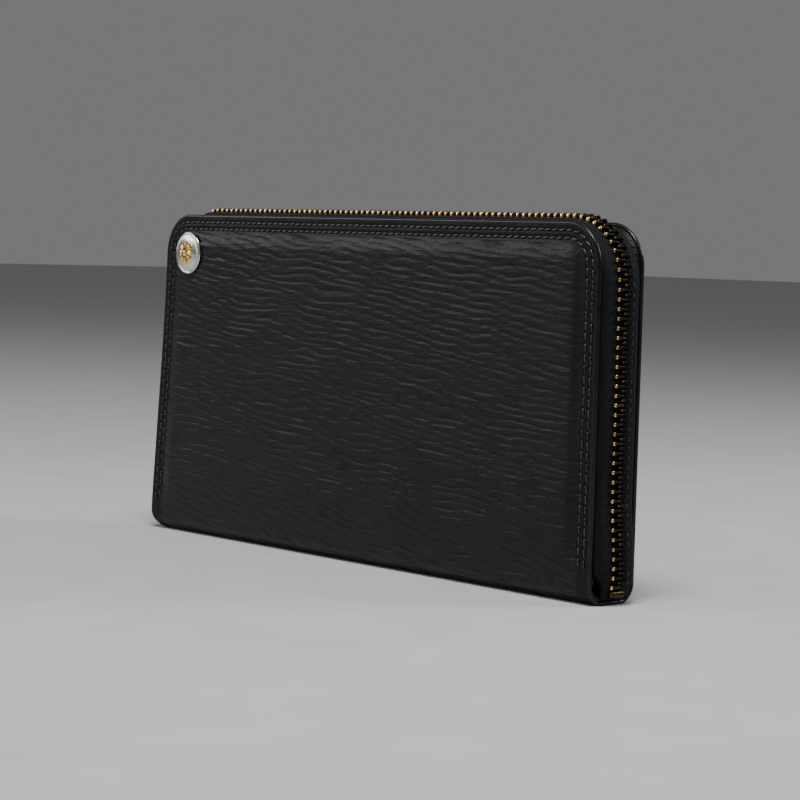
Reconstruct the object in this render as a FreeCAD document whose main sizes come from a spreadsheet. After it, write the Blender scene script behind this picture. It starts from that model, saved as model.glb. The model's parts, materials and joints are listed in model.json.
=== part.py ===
"""Zip around long wallet, standing closed on its spine.

Millimetres. X runs along the wallet, Z is up and the front cover faces -Y.
The origin is the middle of the flat stretch under the spine.
"""
import FreeCAD
import Part
import math
import os

import Sketcher
from FreeCAD import Matrix, Placement, Rotation, Vector

FRONT = -1
BACK = 1
LEFT = -1
RIGHT = 1

doc = FreeCAD.newDocument("zip_around_wallet")
dims = doc.addObject("Spreadsheet::Sheet", "dims")

DRIVING_DIMENSIONS = {
    # cover
    "length": 200.0,
    "height": 100.0,
    "edge_thickness": 16.4,
    "corner_radius": 12.0,
    "spine_radius": 5.2,
    "hinge_angle": 45.0,
    "hinge_gap_angle": 1.0,
    "leather": 1.2,
    "field_rise": 1.2,
    "border": 6.0,
    "field_bottom": 8.0,
    "field_radius": 6.0,
    "recess_margin": 0.8,
    "pad_margin": 0.2,
    "layer_gap": 0.05,
    "lining": 0.35,
    "lining_inset": 0.8,
    # card banks
    "card_leather": 0.35,
    "card_step": 0.38,
    "bank_half_length": 91.0,
    "bank_bottom": 9.0,
    "bank_top": 92.0,
    "mouth_top": 72.5,
    "mouth_step": 11.0,
    # main zip
    "chain_stand": 0.6,
    "chain_corner_radius": 17.0,
    "tape": 0.4,
    "tape_flange": 5.4,
    "tape_inner": 1.2,
    "tape_flange_end": 7.0,
    "tape_tail_half": 5.2,
    "tape_end": 4.0,
    "tooth_pitch": 2.5,
    "tooth": 1.05,
    "tooth_reach": 0.5,
    "tooth_slot_end": 1.0,
    "tooth_slot": 0.6,
    "chain_half": 3.0,
    "tooth_half_height": 1.7,
    "first_tooth": 14.1,
    "last_tooth": 4.9,
    "top_stop_start": 2.6,
    "top_stop": 1.2,
    "top_stop_inner": 0.6,
    "top_stop_outer": 2.6,
    "bottom_stop_half": 2.5,
    "bottom_stop": 1.4,
    "bottom_stop_gap": 0.2,
    # main slider, measured from the middle of the chain
    "slider_bottom": 9.0,
    "slider_length": 9.5,
    "slider_half": 3.9,
    "slider_play": 0.15,
    "slider_plate": 0.8,
    "slider_slot": 0.9,
    "slider_wedge": 0.9,
    "slider_wedge_length": 1.2,
    "crown_half": 1.0,
    "crown_leg": 1.2,
    "crown_span": 6.0,
    "crown_rise": 2.25,
    "crown_bar": 0.8,
    "puller_length": 24.0,
    "puller_half": 2.75,
    "puller_plate": 1.2,
    "puller_window": 4.2,
    "puller_play": 0.25,
    "bar_play": 0.02,
    "puller_eye_radius": 1.5,
    # coin purse
    "purse_half_length": 90.0,
    "purse_bottom": 9.0,
    "purse_top": 73.8,
    "purse_leather": 0.4,
    "purse_half": 1.0,
    "coin_chain_level": 77.0,
    "coin_chain_half_length": 82.0,
    "coin_tape": 0.3,
    "coin_tape_half": 3.35,
    "coin_tape_leg": 11.0,
    "coin_tape_play": 0.1,
    "coin_tape_spare": 3.0,
    "coin_pitch": 2.0,
    "coin_tooth": 0.84,
    "coin_tooth_reach": 0.4,
    "coin_slot_end": 0.8,
    "coin_tooth_slot": 0.4,
    "coin_chain_half": 2.2,
    "coin_tooth_half_height": 1.0,
    "coin_first_tooth": 3.4,
    "coin_stop_start": 0.6,
    "coin_stop": 1.4,
    "coin_stop_half": 0.75,
    "coin_slider_start": -82.0,
    "coin_slider_length": 7.0,
    "coin_slider_half": 2.85,
    "coin_slider_plate": 0.5,
    "coin_slider_slot": 0.7,
    "coin_puller_length": 13.0,
    "coin_puller_half": 2.0,
    "coin_puller_eye_radius": 1.0,
    # gussets
    "gusset_edge": 95.5,
    "gusset_depth": 25.0,
    "gusset_middle": 2.6,
    "gusset_half": 1.5,
    "gusset_leather": 0.3,
    "gusset_bottom": 12.0,
    "gusset_top": 73.0,
    # concho
    "concho_x": -84.0,
    "concho_z": 88.0,
    "concho_radius": 6.5,
    "concho_rim": 0.7,
    "concho_bevel": 0.2,
    "concho_dome": 0.9,
    "crest": 0.7,
    "dome_top": 0.6,
    "emblem_radius": 3.6,
    "emblem_height": 0.5,
    "emblem_play": 0.1,
    "post_radius": 1.5,
    "post_stand": 0.6,
    "screw_radius": 0.9,
    "screw_play": 0.05,
    "screw_head_radius": 3.2,
    "screw_head": 0.5,
}

for row, (alias, value) in enumerate(DRIVING_DIMENSIONS.items(), start=1):
    dims.set(f"A{row}", alias)
    dims.set(f"B{row}", str(value))
    dims.setAlias(f"B{row}", alias)
doc.recompute()


def size(alias):
    """The driving dimension's value."""
    return float(dims.get(alias))


# ---------------------------------------------------------------- levels
# Distances from the wallet's middle plane to each layer, as expressions.
HALF = "dims.edge_thickness / 2"
BORDER_INSIDE = f"({HALF} - dims.leather)"
FIELD_INSIDE = f"({HALF} + dims.field_rise - dims.leather)"
LINING_OUTSIDE = f"({BORDER_INSIDE} - dims.tape - dims.layer_gap)"
LINING_INSIDE = f"({LINING_OUTSIDE} - dims.lining)"
BASE_OUTSIDE = f"({LINING_INSIDE} - dims.layer_gap)"
BASE_INSIDE = f"({BASE_OUTSIDE} - dims.card_leather)"
SPINE_INNER = "(dims.spine_radius - dims.leather)"
LINED_INNER = f"({SPINE_INNER} - dims.layer_gap - dims.lining)"
CHAIN_X = "(dims.length / 2 + dims.chain_stand)"
POCKET_ROWS = 4
# How far a cutting solid runs past what it cuts.
PAST = 1.0
# Ends of the leather on each side of the hinge, in degrees about the front bend.
FRONT_EDGE = "180 + dims.hinge_angle - dims.hinge_gap_angle"
ROOT_EDGE = "180 + dims.hinge_angle + dims.hinge_gap_angle"

parts = []


def keep(obj, label):
    """Marks an object as one of the wallet's sub-parts."""
    obj.Label = label
    parts.append(obj)
    return obj


# ---------------------------------------------------------------- helpers
def new_body(label):
    return keep(doc.addObject("PartDesign::Body", label), label)


def new_sketch(body, name, plane, offset="0"):
    """A sketch on one of the body's origin planes, moved along the plane's normal."""
    sketch = body.newObject("Sketcher::SketchObject", name)
    face = next(f for f in body.Origin.OriginFeatures if f.Role == plane)
    sketch.AttachmentSupport = (face, [""])
    sketch.MapMode = "FlatFace"
    sketch.setExpression("AttachmentOffset.Base.z", offset)
    return sketch


def dimension(sketch, name, expression, *constraint):
    """Adds a named dimension to a sketch and ties it to the sheet."""
    index = sketch.addConstraint(Sketcher.Constraint(*constraint))
    sketch.renameConstraint(index, name)
    sketch.setExpression(f"Constraints.{name}", expression)


def polygon(sketch, corners):
    """A closed outline through corners, each given as two expressions."""
    for index in range(len(corners)):
        guess = Vector(index + 1, (index * index) % 7 + 1, 0)
        after = Vector(index + 2, ((index + 1) * (index + 1)) % 7 + 1, 0)
        sketch.addGeometry(Part.LineSegment(guess, after), False)
    for index, (across, up) in enumerate(corners):
        before = (index - 1) % len(corners)
        sketch.addConstraint(Sketcher.Constraint("Coincident", before, 2, index, 1))
        dimension(sketch, f"across_{index}", across, "DistanceX", -1, 1, index, 1, 1.0)
        dimension(sketch, f"up_{index}", up, "DistanceY", -1, 1, index, 1, 1.0)


def panel_outline(sketch, half, bottom, top, radius):
    """A rectangle with two round top corners, symmetric about the vertical axis."""
    arc = Part.Circle(Vector(0, 0, 0), Vector(0, 0, 1), 10.0)
    geometry = [
        Part.LineSegment(Vector(-50, 10, 0), Vector(-50, 60, 0)),
        Part.ArcOfCircle(arc, math.pi / 2, math.pi),
        Part.LineSegment(Vector(-40, 70, 0), Vector(40, 70, 0)),
        Part.ArcOfCircle(arc, 0, math.pi / 2),
        Part.LineSegment(Vector(50, 60, 0), Vector(50, 10, 0)),
        Part.LineSegment(Vector(50, 10, 0), Vector(-50, 10, 0)),
    ]
    geometry[1].Center = Vector(-40, 60, 0)
    geometry[3].Center = Vector(40, 60, 0)
    sketch.addGeometry(geometry, False)
    left, left_arc, over, right_arc, right, under = range(6)
    for constraint in (
        ("Tangent", left, 2, left_arc, 2),
        ("Tangent", left_arc, 1, over, 1),
        ("Tangent", over, 2, right_arc, 2),
        ("Tangent", right_arc, 1, right, 1),
        ("Coincident", right, 2, under, 1),
        ("Coincident", under, 2, left, 1),
        ("Horizontal", over),
        ("Horizontal", under),
        ("Vertical", left),
        ("Vertical", right),
        ("Equal", left_arc, right_arc),
    ):
        sketch.addConstraint(Sketcher.Constraint(*constraint))
    dimension(sketch, "half", half, "DistanceX", -1, 1, right, 2, 50.0)
    dimension(sketch, "left_half", half, "DistanceX", left, 1, -1, 1, 50.0)
    dimension(sketch, "bottom", bottom, "DistanceY", -1, 1, right, 2, 10.0)
    dimension(sketch, "top", top, "DistanceY", -1, 1, over, 1, 70.0)
    dimension(sketch, "radius", radius, "Radius", left_arc, 10.0)


def pad(body, name, sketch, length, outward):
    """Pads a sketch that lies across Y, towards the side given by outward."""
    feature = body.newObject("PartDesign::Pad", name)
    feature.Profile = sketch
    feature.setExpression("Length", length)
    feature.Reversed = outward == BACK
    body.Tip = feature
    return feature


def cut(body, name, sketch, length, outward):
    """Pockets a sketch that lies across Y, and checks that it took material away."""
    doc.recompute()
    before = body.Shape.Volume
    feature = body.newObject("PartDesign::Pocket", name)
    feature.Profile = sketch
    feature.setExpression("Length", length)
    feature.Reversed = outward == FRONT
    body.Tip = feature
    doc.recompute()
    if body.Shape.Volume >= before:
        raise RuntimeError(f"{name} cut nothing")
    return feature


def flat_panel(body, name, outward, level, thickness, outline):
    """A flat sheet parallel to the covers, from level outwards by thickness."""
    sketch = new_sketch(body, f"{name}_outline", "XZ_Plane", f"{-outward} * {level}")
    panel_outline(sketch, *outline)
    return pad(body, name, sketch, thickness, outward)


def inset_outline(inset, bottom, radius=None):
    """The cover's outline moved inwards by inset."""
    half = f"dims.length / 2 - {inset}"
    top = f"dims.height - {inset}"
    return half, bottom, top, radius or f"dims.corner_radius - {inset}"


def box(name, x, y, z):
    """A Part box between two expressions on each axis."""
    solid = doc.addObject("Part::Box", name)
    for side, axis, (low, high) in (
        ("Length", "x", x),
        ("Width", "y", y),
        ("Height", "z", z),
    ):
        solid.setExpression(side, f"({high}) - ({low})")
        solid.setExpression(f"Placement.Base.{axis}", low)
    return solid


def fuse(name, solids):
    joined = doc.addObject("Part::MultiFuse", name)
    joined.Shapes = solids
    return joined


def subtract(name, base, tool):
    result = doc.addObject("Part::Cut", name)
    result.Base = base
    result.Tool = tool
    return result


def side_name(side):
    return "front" if side == FRONT else "back"


# ---------------------------------------------------------------- cover leather
def round_hole(body, name, level, radius, depth, outward):
    """A round hole on the concho's axis, from level outwards."""
    sketch = new_sketch(body, f"{name}_circle", "XZ_Plane", f"{-outward} * {level}")
    circle = Part.Circle(Vector(-20, 20, 0), Vector(0, 0, 1), 2.0)
    sketch.addGeometry(circle, False)
    dimension(sketch, "radius", radius, "Radius", 0, 2.0)
    dimension(sketch, "left", "-dims.concho_x", "DistanceX", 0, 3, -1, 1, 20.0)
    dimension(sketch, "up", "dims.concho_z", "DistanceY", -1, 1, 0, 3, 20.0)
    cut(body, name, sketch, depth, outward)


def cover_panel(outward):
    """One cover's leather: a stitched border round a raised field with a recess behind."""
    body = new_body(f"{side_name(outward)}_leather")
    flat_panel(
        body, "border", outward, BORDER_INSIDE, "dims.leather",
        inset_outline("0", "dims.spine_radius"),
    )
    flat_panel(
        body, "field", outward, HALF, "dims.field_rise",
        inset_outline("dims.border", "dims.field_bottom", "dims.field_radius"),
    )
    recess = new_sketch(
        body, "recess_outline", "XZ_Plane", f"{-outward} * {BORDER_INSIDE}"
    )
    margin = "(dims.border + dims.recess_margin)"
    bottom = "dims.field_bottom + dims.recess_margin"
    panel_outline(
        recess,
        *inset_outline(margin, bottom, "dims.field_radius - dims.recess_margin"),
    )
    cut(body, "recess", recess, "dims.field_rise", outward)
    return body


def arc_band(body, name, outer, inner, start, end, flat):
    """A curved strip of the spine, from angle start to end about the arc's centre.

    Angles are degrees from +Y towards +Z. The arc's centre stands at the spine's
    radius above the floor, flat to one side of the middle plane.
    """
    sketch = new_sketch(body, f"{name}_section", "YZ_Plane")
    centre = Vector(flat * 2, 6, 0)
    ends = [math.radians(size_of(angle)) for angle in (start, end)]
    for radius in (6.0, 5.0):
        circle = Part.Circle(centre, Vector(0, 0, 1), radius)
        sketch.addGeometry(Part.ArcOfCircle(circle, *ends), False)
    outer_arc, inner_arc, first, last = range(4)
    for point in (1, 2):
        from_point = sketch.getPoint(outer_arc, point)
        to_point = sketch.getPoint(inner_arc, point)
        sketch.addGeometry(Part.LineSegment(from_point, to_point), False)
    for constraint in (
        ("Coincident", outer_arc, 3, inner_arc, 3),
        ("Coincident", outer_arc, 1, first, 1),
        ("Coincident", inner_arc, 1, first, 2),
        ("Coincident", outer_arc, 2, last, 1),
        ("Coincident", inner_arc, 2, last, 2),
        ("PointOnObject", outer_arc, 3, first),
        ("PointOnObject", outer_arc, 3, last),
    ):
        sketch.addConstraint(Sketcher.Constraint(*constraint))
    offset = f"{HALF} - dims.spine_radius"
    if flat == FRONT:
        dimension(sketch, "flat", offset, "DistanceX", outer_arc, 3, -1, 1, 2.0)
    else:
        dimension(sketch, "flat", offset, "DistanceX", -1, 1, outer_arc, 3, 2.0)
    dimension(
        sketch, "rise", "dims.spine_radius", "DistanceY", -1, 1, outer_arc, 3, 6.0
    )
    dimension(sketch, "outer", outer, "Radius", outer_arc, 6.0)
    dimension(sketch, "inner", inner, "Radius", inner_arc, 5.0)
    fix_ray(sketch, first, start, "start")
    fix_ray(sketch, last, end, "end")
    return across(body, name, sketch)


def size_of(expression):
    """The value of an angle expression of the spine, in degrees."""
    angles = {
        "180": 180.0,
        "270": 270.0,
        "360": 360.0,
        FRONT_EDGE: 180 + size("hinge_angle") - size("hinge_gap_angle"),
        ROOT_EDGE: 180 + size("hinge_angle") + size("hinge_gap_angle"),
    }
    return angles[expression]


def fix_ray(sketch, line, angle, name):
    """Fixes the direction of a radial line, square to an axis or at an angle."""
    if angle in ("180", "360"):
        sketch.addConstraint(Sketcher.Constraint("Horizontal", line))
    elif angle == "270":
        sketch.addConstraint(Sketcher.Constraint("Vertical", line))
    else:
        turn = math.radians(size_of(angle) - 180)
        dimension(
            sketch, name, f"({angle} - 180) * 1 deg", "Angle", line, turn
        )


def across(body, name, sketch):
    """Pads a cross-section over the whole length of the wallet."""
    feature = body.newObject("PartDesign::Pad", name)
    feature.Profile = sketch
    feature.setExpression("Length", "dims.length")
    feature.Midplane = True
    body.Tip = feature
    doc.recompute()
    return feature


def spine_foot(body, outward):
    """Fills the corner between a bend's outer face and the floor.

    The bend runs on straight from its edge beside the hinge angle, so that the
    spine stands on a wider flat than the one between its two bends.
    """
    sketch = new_sketch(body, f"{side_name(outward)}_foot_section", "YZ_Plane")
    flat = f"({HALF} - dims.spine_radius)"
    angle = "(dims.hinge_angle + dims.hinge_gap_angle)"
    corners = [
        (
            f"{flat} + dims.spine_radius * cos({angle})",
            f"dims.spine_radius * (1 - sin({angle}))",
        ),
        (f"{flat} + dims.spine_radius * tan((90 - {angle}) / 2)", "0"),
        (flat, "0"),
        (flat, "dims.leather / 2"),
    ]
    polygon(sketch, [(f"{outward} * ({y})", z) for y, z in corners])
    return across(body, f"{side_name(outward)}_foot", sketch)


def spine_floor(body, name, low, high):
    """The flat stretch under the spine, between two heights."""
    sketch = new_sketch(body, f"{name}_section", "YZ_Plane")
    flat = f"({HALF} - dims.spine_radius)"
    polygon(
        sketch,
        [(f"-{flat}", low), (flat, low), (flat, high), (f"-{flat}", high)],
    )
    return across(body, name, sketch)


def make_cover():
    """The one leather sheet of the cover, divided where it bends at the hinge."""
    front = cover_panel(FRONT)
    arc_band(
        front, "hinge_side", "dims.spine_radius", SPINE_INNER, "180", FRONT_EDGE, FRONT
    )
    round_hole(
        front, "post_hole", BORDER_INSIDE, "dims.post_radius + dims.screw_play",
        f"dims.leather + dims.field_rise + {PAST}", FRONT,
    )
    cover_panel(BACK)
    spine = new_body("spine_leather")
    spine_floor(spine, "floor", "0", "dims.leather")
    arc_band(
        spine, "front_bend", "dims.spine_radius", SPINE_INNER, ROOT_EDGE, "270", FRONT
    )
    arc_band(spine, "back_bend", "dims.spine_radius", SPINE_INNER, "270", "360", BACK)
    for outward in (FRONT, BACK):
        spine_foot(spine, outward)


def make_linings():
    """Thin lining leather over the inside of both covers and the spine."""
    outer = f"({SPINE_INNER} - dims.layer_gap)"
    low = "dims.leather + dims.layer_gap"
    for outward in (FRONT, BACK):
        body = new_body(f"{side_name(outward)}_lining")
        flat_panel(
            body, "sheet", outward, LINING_INSIDE, "dims.lining",
            inset_outline(
                "dims.lining_inset", "dims.spine_radius + dims.layer_gap",
                "dims.chain_corner_radius - dims.chain_stand - dims.lining_inset",
            ),
        )
    spine = new_body("spine_lining")
    spine_floor(spine, "floor", low, f"{low} + dims.lining")
    arc_band(spine, "front_bend", outer, LINED_INNER, ROOT_EDGE, "270", FRONT)
    arc_band(spine, "back_bend", outer, LINED_INNER, "270", "360", BACK)


def make_pads():
    """The stiffener behind each raised field."""
    margin = "(dims.border + dims.recess_margin + dims.pad_margin)"
    bottom = "dims.field_bottom + dims.recess_margin + dims.pad_margin"
    radius = "dims.field_radius - dims.recess_margin - dims.pad_margin"
    inside = f"({LINING_OUTSIDE} + dims.layer_gap)"
    thickness = f"{FIELD_INSIDE} - dims.layer_gap - {inside}"
    for outward in (FRONT, BACK):
        body = new_body(f"{side_name(outward)}_stiffener")
        flat_panel(
            body, "board", outward, inside, thickness,
            inset_outline(margin, bottom, radius),
        )
        if outward == FRONT:
            head = "dims.screw_head_radius + dims.pad_margin"
            round_hole(body, "screw_hole", inside, head, thickness, FRONT)


# ---------------------------------------------------------------- card banks
def make_card_banks():
    """A base sheet on each side with stepped rows of card pockets on it."""
    half = "dims.bank_half_length"
    for outward in (FRONT, BACK):
        side = side_name(outward)
        levels = sheet_levels(BASE_INSIDE, BASE_OUTSIDE, outward)
        base = box(
            f"{side}_card_base", (f"-{half}", half), levels,
            ("dims.bank_bottom", "dims.bank_top"),
        )
        keep(base, f"{side}_card_base")
        for row in range(POCKET_ROWS):
            outside = f"({BASE_INSIDE} - dims.layer_gap - {row} * dims.card_step)"
            levels = sheet_levels(f"{outside} - dims.card_leather", outside, outward)
            mouth = f"dims.mouth_top - {row} * dims.mouth_step"
            pocket = box(
                f"{side}_card_pocket_{row + 1}", (f"-{half}", half), levels,
                ("dims.bank_bottom", mouth),
            )
            keep(pocket, f"{side}_card_pocket_{row + 1}")


def sheet_levels(inside, outside, outward):
    """Low and high Y of a sheet that lies between two distances from the middle."""
    if outward == FRONT:
        return f"-({outside})", f"-({inside})"
    return inside, outside


# ---------------------------------------------------------------- main zip
def zip_path(body, name):
    """The chain's middle line: up the left side, over the top and down the right."""
    sketch = new_sketch(body, name, "XZ_Plane")
    circle = Part.Circle(Vector(0, 0, 0), Vector(0, 0, 1), 12.0)
    geometry = [
        Part.LineSegment(Vector(-90, 7, 0), Vector(-90, 80, 0)),
        Part.ArcOfCircle(circle, math.pi / 2, math.pi),
        Part.LineSegment(Vector(-78, 92, 0), Vector(78, 92, 0)),
        Part.ArcOfCircle(circle, 0, math.pi / 2),
        Part.LineSegment(Vector(90, 80, 0), Vector(90, 7, 0)),
    ]
    geometry[1].Center = Vector(-78, 80, 0)
    geometry[3].Center = Vector(78, 80, 0)
    sketch.addGeometry(geometry, False)
    left, left_arc, over, right_arc, right = range(5)
    for constraint in (
        ("Tangent", left, 2, left_arc, 2),
        ("Tangent", left_arc, 1, over, 1),
        ("Tangent", over, 2, right_arc, 2),
        ("Tangent", right_arc, 1, right, 1),
        ("Horizontal", over),
        ("Vertical", left),
        ("Vertical", right),
        ("Equal", left_arc, right_arc),
    ):
        sketch.addConstraint(Sketcher.Constraint(*constraint))
    end = "dims.tape_flange_end"
    radius = "dims.chain_corner_radius"
    dimension(sketch, "half", CHAIN_X, "DistanceX", -1, 1, right, 2, 90.0)
    dimension(sketch, "left_half", CHAIN_X, "DistanceX", left, 1, -1, 1, 90.0)
    dimension(sketch, "right_end", end, "DistanceY", -1, 1, right, 2, 7.0)
    dimension(sketch, "left_end", end, "DistanceY", -1, 1, left, 1, 7.0)
    top = "dims.height + dims.chain_stand"
    dimension(sketch, "top", top, "DistanceY", -1, 1, over, 1, 92.0)
    dimension(sketch, "radius", radius, "Radius", left_arc, 12.0)
    return sketch


def make_zip_tape(outward):
    """The woven tape: a flange sewn inside the cover and a web that holds the teeth."""
    body = new_body(f"zip_tape_{side_name(outward)}")
    path = zip_path(body, "tape_path")
    section = new_sketch(body, "tape_section", "XY_Plane", "dims.tape_flange_end")
    outside = f"-({CHAIN_X} + dims.tape / 2)"
    inside = f"-({CHAIN_X} - dims.tape / 2)"
    flange = f"-({CHAIN_X} - dims.tape_flange)"
    corners = [
        (outside, "dims.tape_inner"),
        (inside, "dims.tape_inner"),
        (inside, f"{BORDER_INSIDE} - dims.tape"),
        (flange, f"{BORDER_INSIDE} - dims.tape"),
        (flange, BORDER_INSIDE),
        (outside, BORDER_INSIDE),
    ]
    polygon(section, [(x, f"{outward} * ({y})") for x, y in corners])
    doc.recompute()
    sweep = body.newObject("PartDesign::AdditivePipe", "tape_sweep")
    sweep.Profile = section
    sweep.Spine = (path, [f"Edge{n + 1}" for n in range(5)])
    body.Tip = sweep
    doc.recompute()
    for end in (LEFT, RIGHT):
        tail = new_sketch(
            body, f"tail_{'left' if end == LEFT else 'right'}", "XY_Plane",
            "dims.tape_end",
        )
        spread = [
            (f"{end} * ({CHAIN_X} + dims.tape / 2)", f"{outward} * dims.tape_inner"),
            (f"{end} * ({CHAIN_X} - dims.tape / 2)", f"{outward} * dims.tape_inner"),
            (f"{end} * ({CHAIN_X} - dims.tape / 2)", f"{outward} * dims.tape_tail_half"),
            (f"{end} * ({CHAIN_X} + dims.tape / 2)", f"{outward} * dims.tape_tail_half"),
        ]
        polygon(tail, spread)
        strip = body.newObject("PartDesign::Pad", f"{tail.Name}_strip")
        strip.Profile = tail
        strip.setExpression("Length", "dims.tape_flange_end - dims.tape_end")
        body.Tip = strip
        doc.recompute()


def tooth_shape(thickness, reach, half, half_height, slot, slot_end):
    """One tooth about its seat on the tape: X out of the tape, Y across, Z along."""
    block = Part.makeBox(
        2 * half_height, half + reach, thickness,
        Vector(-half_height, -reach, -thickness / 2),
    )
    groove = Part.makeBox(
        slot, half - slot_end + PAST, thickness + 2 * PAST,
        Vector(-slot / 2, slot_end, -thickness / 2 - PAST),
    )
    return block.cut(groove)


def zip_length():
    """The chain's length from the left first tooth to the right last tooth."""
    radius = size("chain_corner_radius")
    shoulder = size("height") + size("chain_stand") - radius
    quarter = math.pi / 2 * radius
    over = size("length") + 2 * size("chain_stand") - 2 * radius
    left = shoulder - size("first_tooth")
    right = shoulder - size("last_tooth")
    return left + quarter + over + quarter + right


def zip_seat(along):
    """Placement of a point on the chain: local X faces out, local Z runs along."""
    radius = size("chain_corner_radius")
    shoulder = size("height") + size("chain_stand") - radius
    centre_x = size("length") / 2 + size("chain_stand") - radius
    quarter = math.pi / 2 * radius
    left = shoulder - size("first_tooth")
    if along <= left:
        point, turn = Vector(-centre_x - radius, 0, size("first_tooth") + along), 0.0
    elif along <= left + quarter:
        turn = (along - left) / radius
        point = Vector(
            -centre_x - radius * math.cos(turn), 0, shoulder + radius * math.sin(turn)
        )
    elif along <= left + quarter + 2 * centre_x:
        turn = math.pi / 2
        point = Vector(-centre_x + along - left - quarter, 0, shoulder + radius)
    elif along <= left + 2 * quarter + 2 * centre_x:
        turn = (along - left - 2 * centre_x) / radius
        point = Vector(
            centre_x - radius * math.cos(turn), 0, shoulder + radius * math.sin(turn)
        )
    else:
        turn = math.pi
        below = along - left - 2 * quarter - 2 * centre_x
        point = Vector(centre_x + radius, 0, shoulder - below)
    outwards = Vector(-math.cos(turn), 0, math.sin(turn))
    forwards = Vector(math.sin(turn), 0, math.cos(turn))
    return frame_placement(point, outwards, forwards)


def frame_placement(point, outwards, forwards):
    """Placement whose local X is outwards and whose local Z is forwards."""
    sideways = forwards.cross(outwards)
    matrix = Matrix(
        outwards.x, sideways.x, forwards.x, point.x,
        outwards.y, sideways.y, forwards.y, point.y,
        outwards.z, sideways.z, forwards.z, point.z,
        0, 0, 0, 1,
    )
    return Placement(matrix)


def tooth_row(label, tooth, seats):
    """A row of separate teeth, one on each seat."""
    row = doc.addObject("Part::Feature", label)
    row.Shape = Part.makeCompound([placed(tooth, seat) for seat in seats])
    return keep(row, label)


def placed(shape, placement):
    return shape.transformed(placement.toMatrix(), True)


def mirrored(shape):
    """The shape turned over to the other side of the chain."""
    return shape.mirror(Vector(0, 0, 0), Vector(0, 1, 0))


def make_zip_teeth():
    """Two rows of metal teeth that interlock along the middle of the chain."""
    pitch = size("tooth_pitch")
    tooth = tooth_shape(
        size("tooth"), size("tooth_reach"), size("chain_half"),
        size("tooth_half_height"), size("tooth_slot"), size("tooth_slot_end"),
    )
    count = int(zip_length() / pitch + 0.5)
    back_seats = [zip_seat(n * pitch) for n in range(count)]
    front_seats = [zip_seat((n + 0.5) * pitch) for n in range(count)]
    # local Y of a seat points to the front of the wallet
    tooth_row("zip_teeth_front", tooth, front_seats)
    tooth_row("zip_teeth_back", mirrored(tooth), back_seats)


def make_zip_stops():
    """A clip on the end of each row by the slider, and one box at the far end."""
    half = "dims.tooth_half_height"
    slot = "dims.tooth_slot / 2"
    low = "dims.slider_bottom + dims.top_stop_start"
    for outward in (FRONT, BACK):
        label = f"zip_top_stop_{side_name(outward)}"
        clip = box(
            f"{label}_block",
            (f"-{CHAIN_X} - {half}", f"-{CHAIN_X} + {half}"),
            sheet_levels("dims.top_stop_inner", "dims.top_stop_outer", outward),
            (low, f"{low} + dims.top_stop"),
        )
        groove = box(
            f"{label}_groove",
            (f"-{CHAIN_X} - {slot}", f"-{CHAIN_X} + {slot}"),
            sheet_levels("dims.tooth_slot_end", f"dims.chain_half + {PAST}", outward),
            (f"{low} - {PAST}", f"{low} + dims.top_stop + {PAST}"),
        )
        keep(subtract(label, clip, groove), label)
    top = "dims.tape_end - dims.bottom_stop_gap"
    box_stop = box(
        "zip_bottom_stop",
        (f"{CHAIN_X} - {half}", f"{CHAIN_X} + {half}"),
        ("-dims.bottom_stop_half", "dims.bottom_stop_half"),
        (f"{top} - dims.bottom_stop", top),
    )
    keep(box_stop, "zip_bottom_stop")


# ---------------------------------------------------------------- sliders
def slider_solids(name, half_height, chain_half, plate, half, slot, length):
    """Two plates, their four rails and the wedge between them, about the chain."""
    play = "dims.slider_play"
    face = f"({half_height} + {play})"
    outer = f"({face} + {plate})"
    channel = f"({chain_half} + {play})"
    whole = ("0", length)
    wedge_half = "dims.slider_wedge / 2"
    solids = [
        box(f"{name}_top_plate", (face, outer), (f"-{half}", half), whole),
        box(f"{name}_base_plate", (f"-{outer}", f"-{face}"), (f"-{half}", half), whole),
        box(
            f"{name}_wedge", (f"-{face}", face), (f"-{wedge_half}", wedge_half),
            ("0", "dims.slider_wedge_length"),
        ),
    ]
    sides = ((channel, half), (f"-{half}", f"-{channel}"))
    for number, across_range in enumerate(sides):
        for place, out_range in (
            ("top", (f"{slot} / 2", face)),
            ("base", (f"-{face}", f"-{slot} / 2")),
        ):
            rail = box(f"{name}_{place}_rail_{number}", out_range, across_range, whole)
            solids.append(rail)
    return solids, outer


def crown_solid(name, outer, span, start):
    """The arch on the slider's top plate that holds the puller's bar."""
    block = box(
        f"{name}_block", (outer, f"{outer} + dims.crown_rise"),
        ("-dims.crown_half", "dims.crown_half"), (start, f"{start} + {span}"),
    )
    tunnel = box(
        f"{name}_tunnel",
        (f"{outer} - {PAST}", f"{outer} + dims.crown_rise - dims.crown_bar"),
        (f"-dims.crown_half - {PAST}", f"dims.crown_half + {PAST}"),
        (f"{start} + dims.crown_leg", f"{start} + {span} - dims.crown_leg"),
    )
    return subtract(name, block, tunnel)


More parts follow.
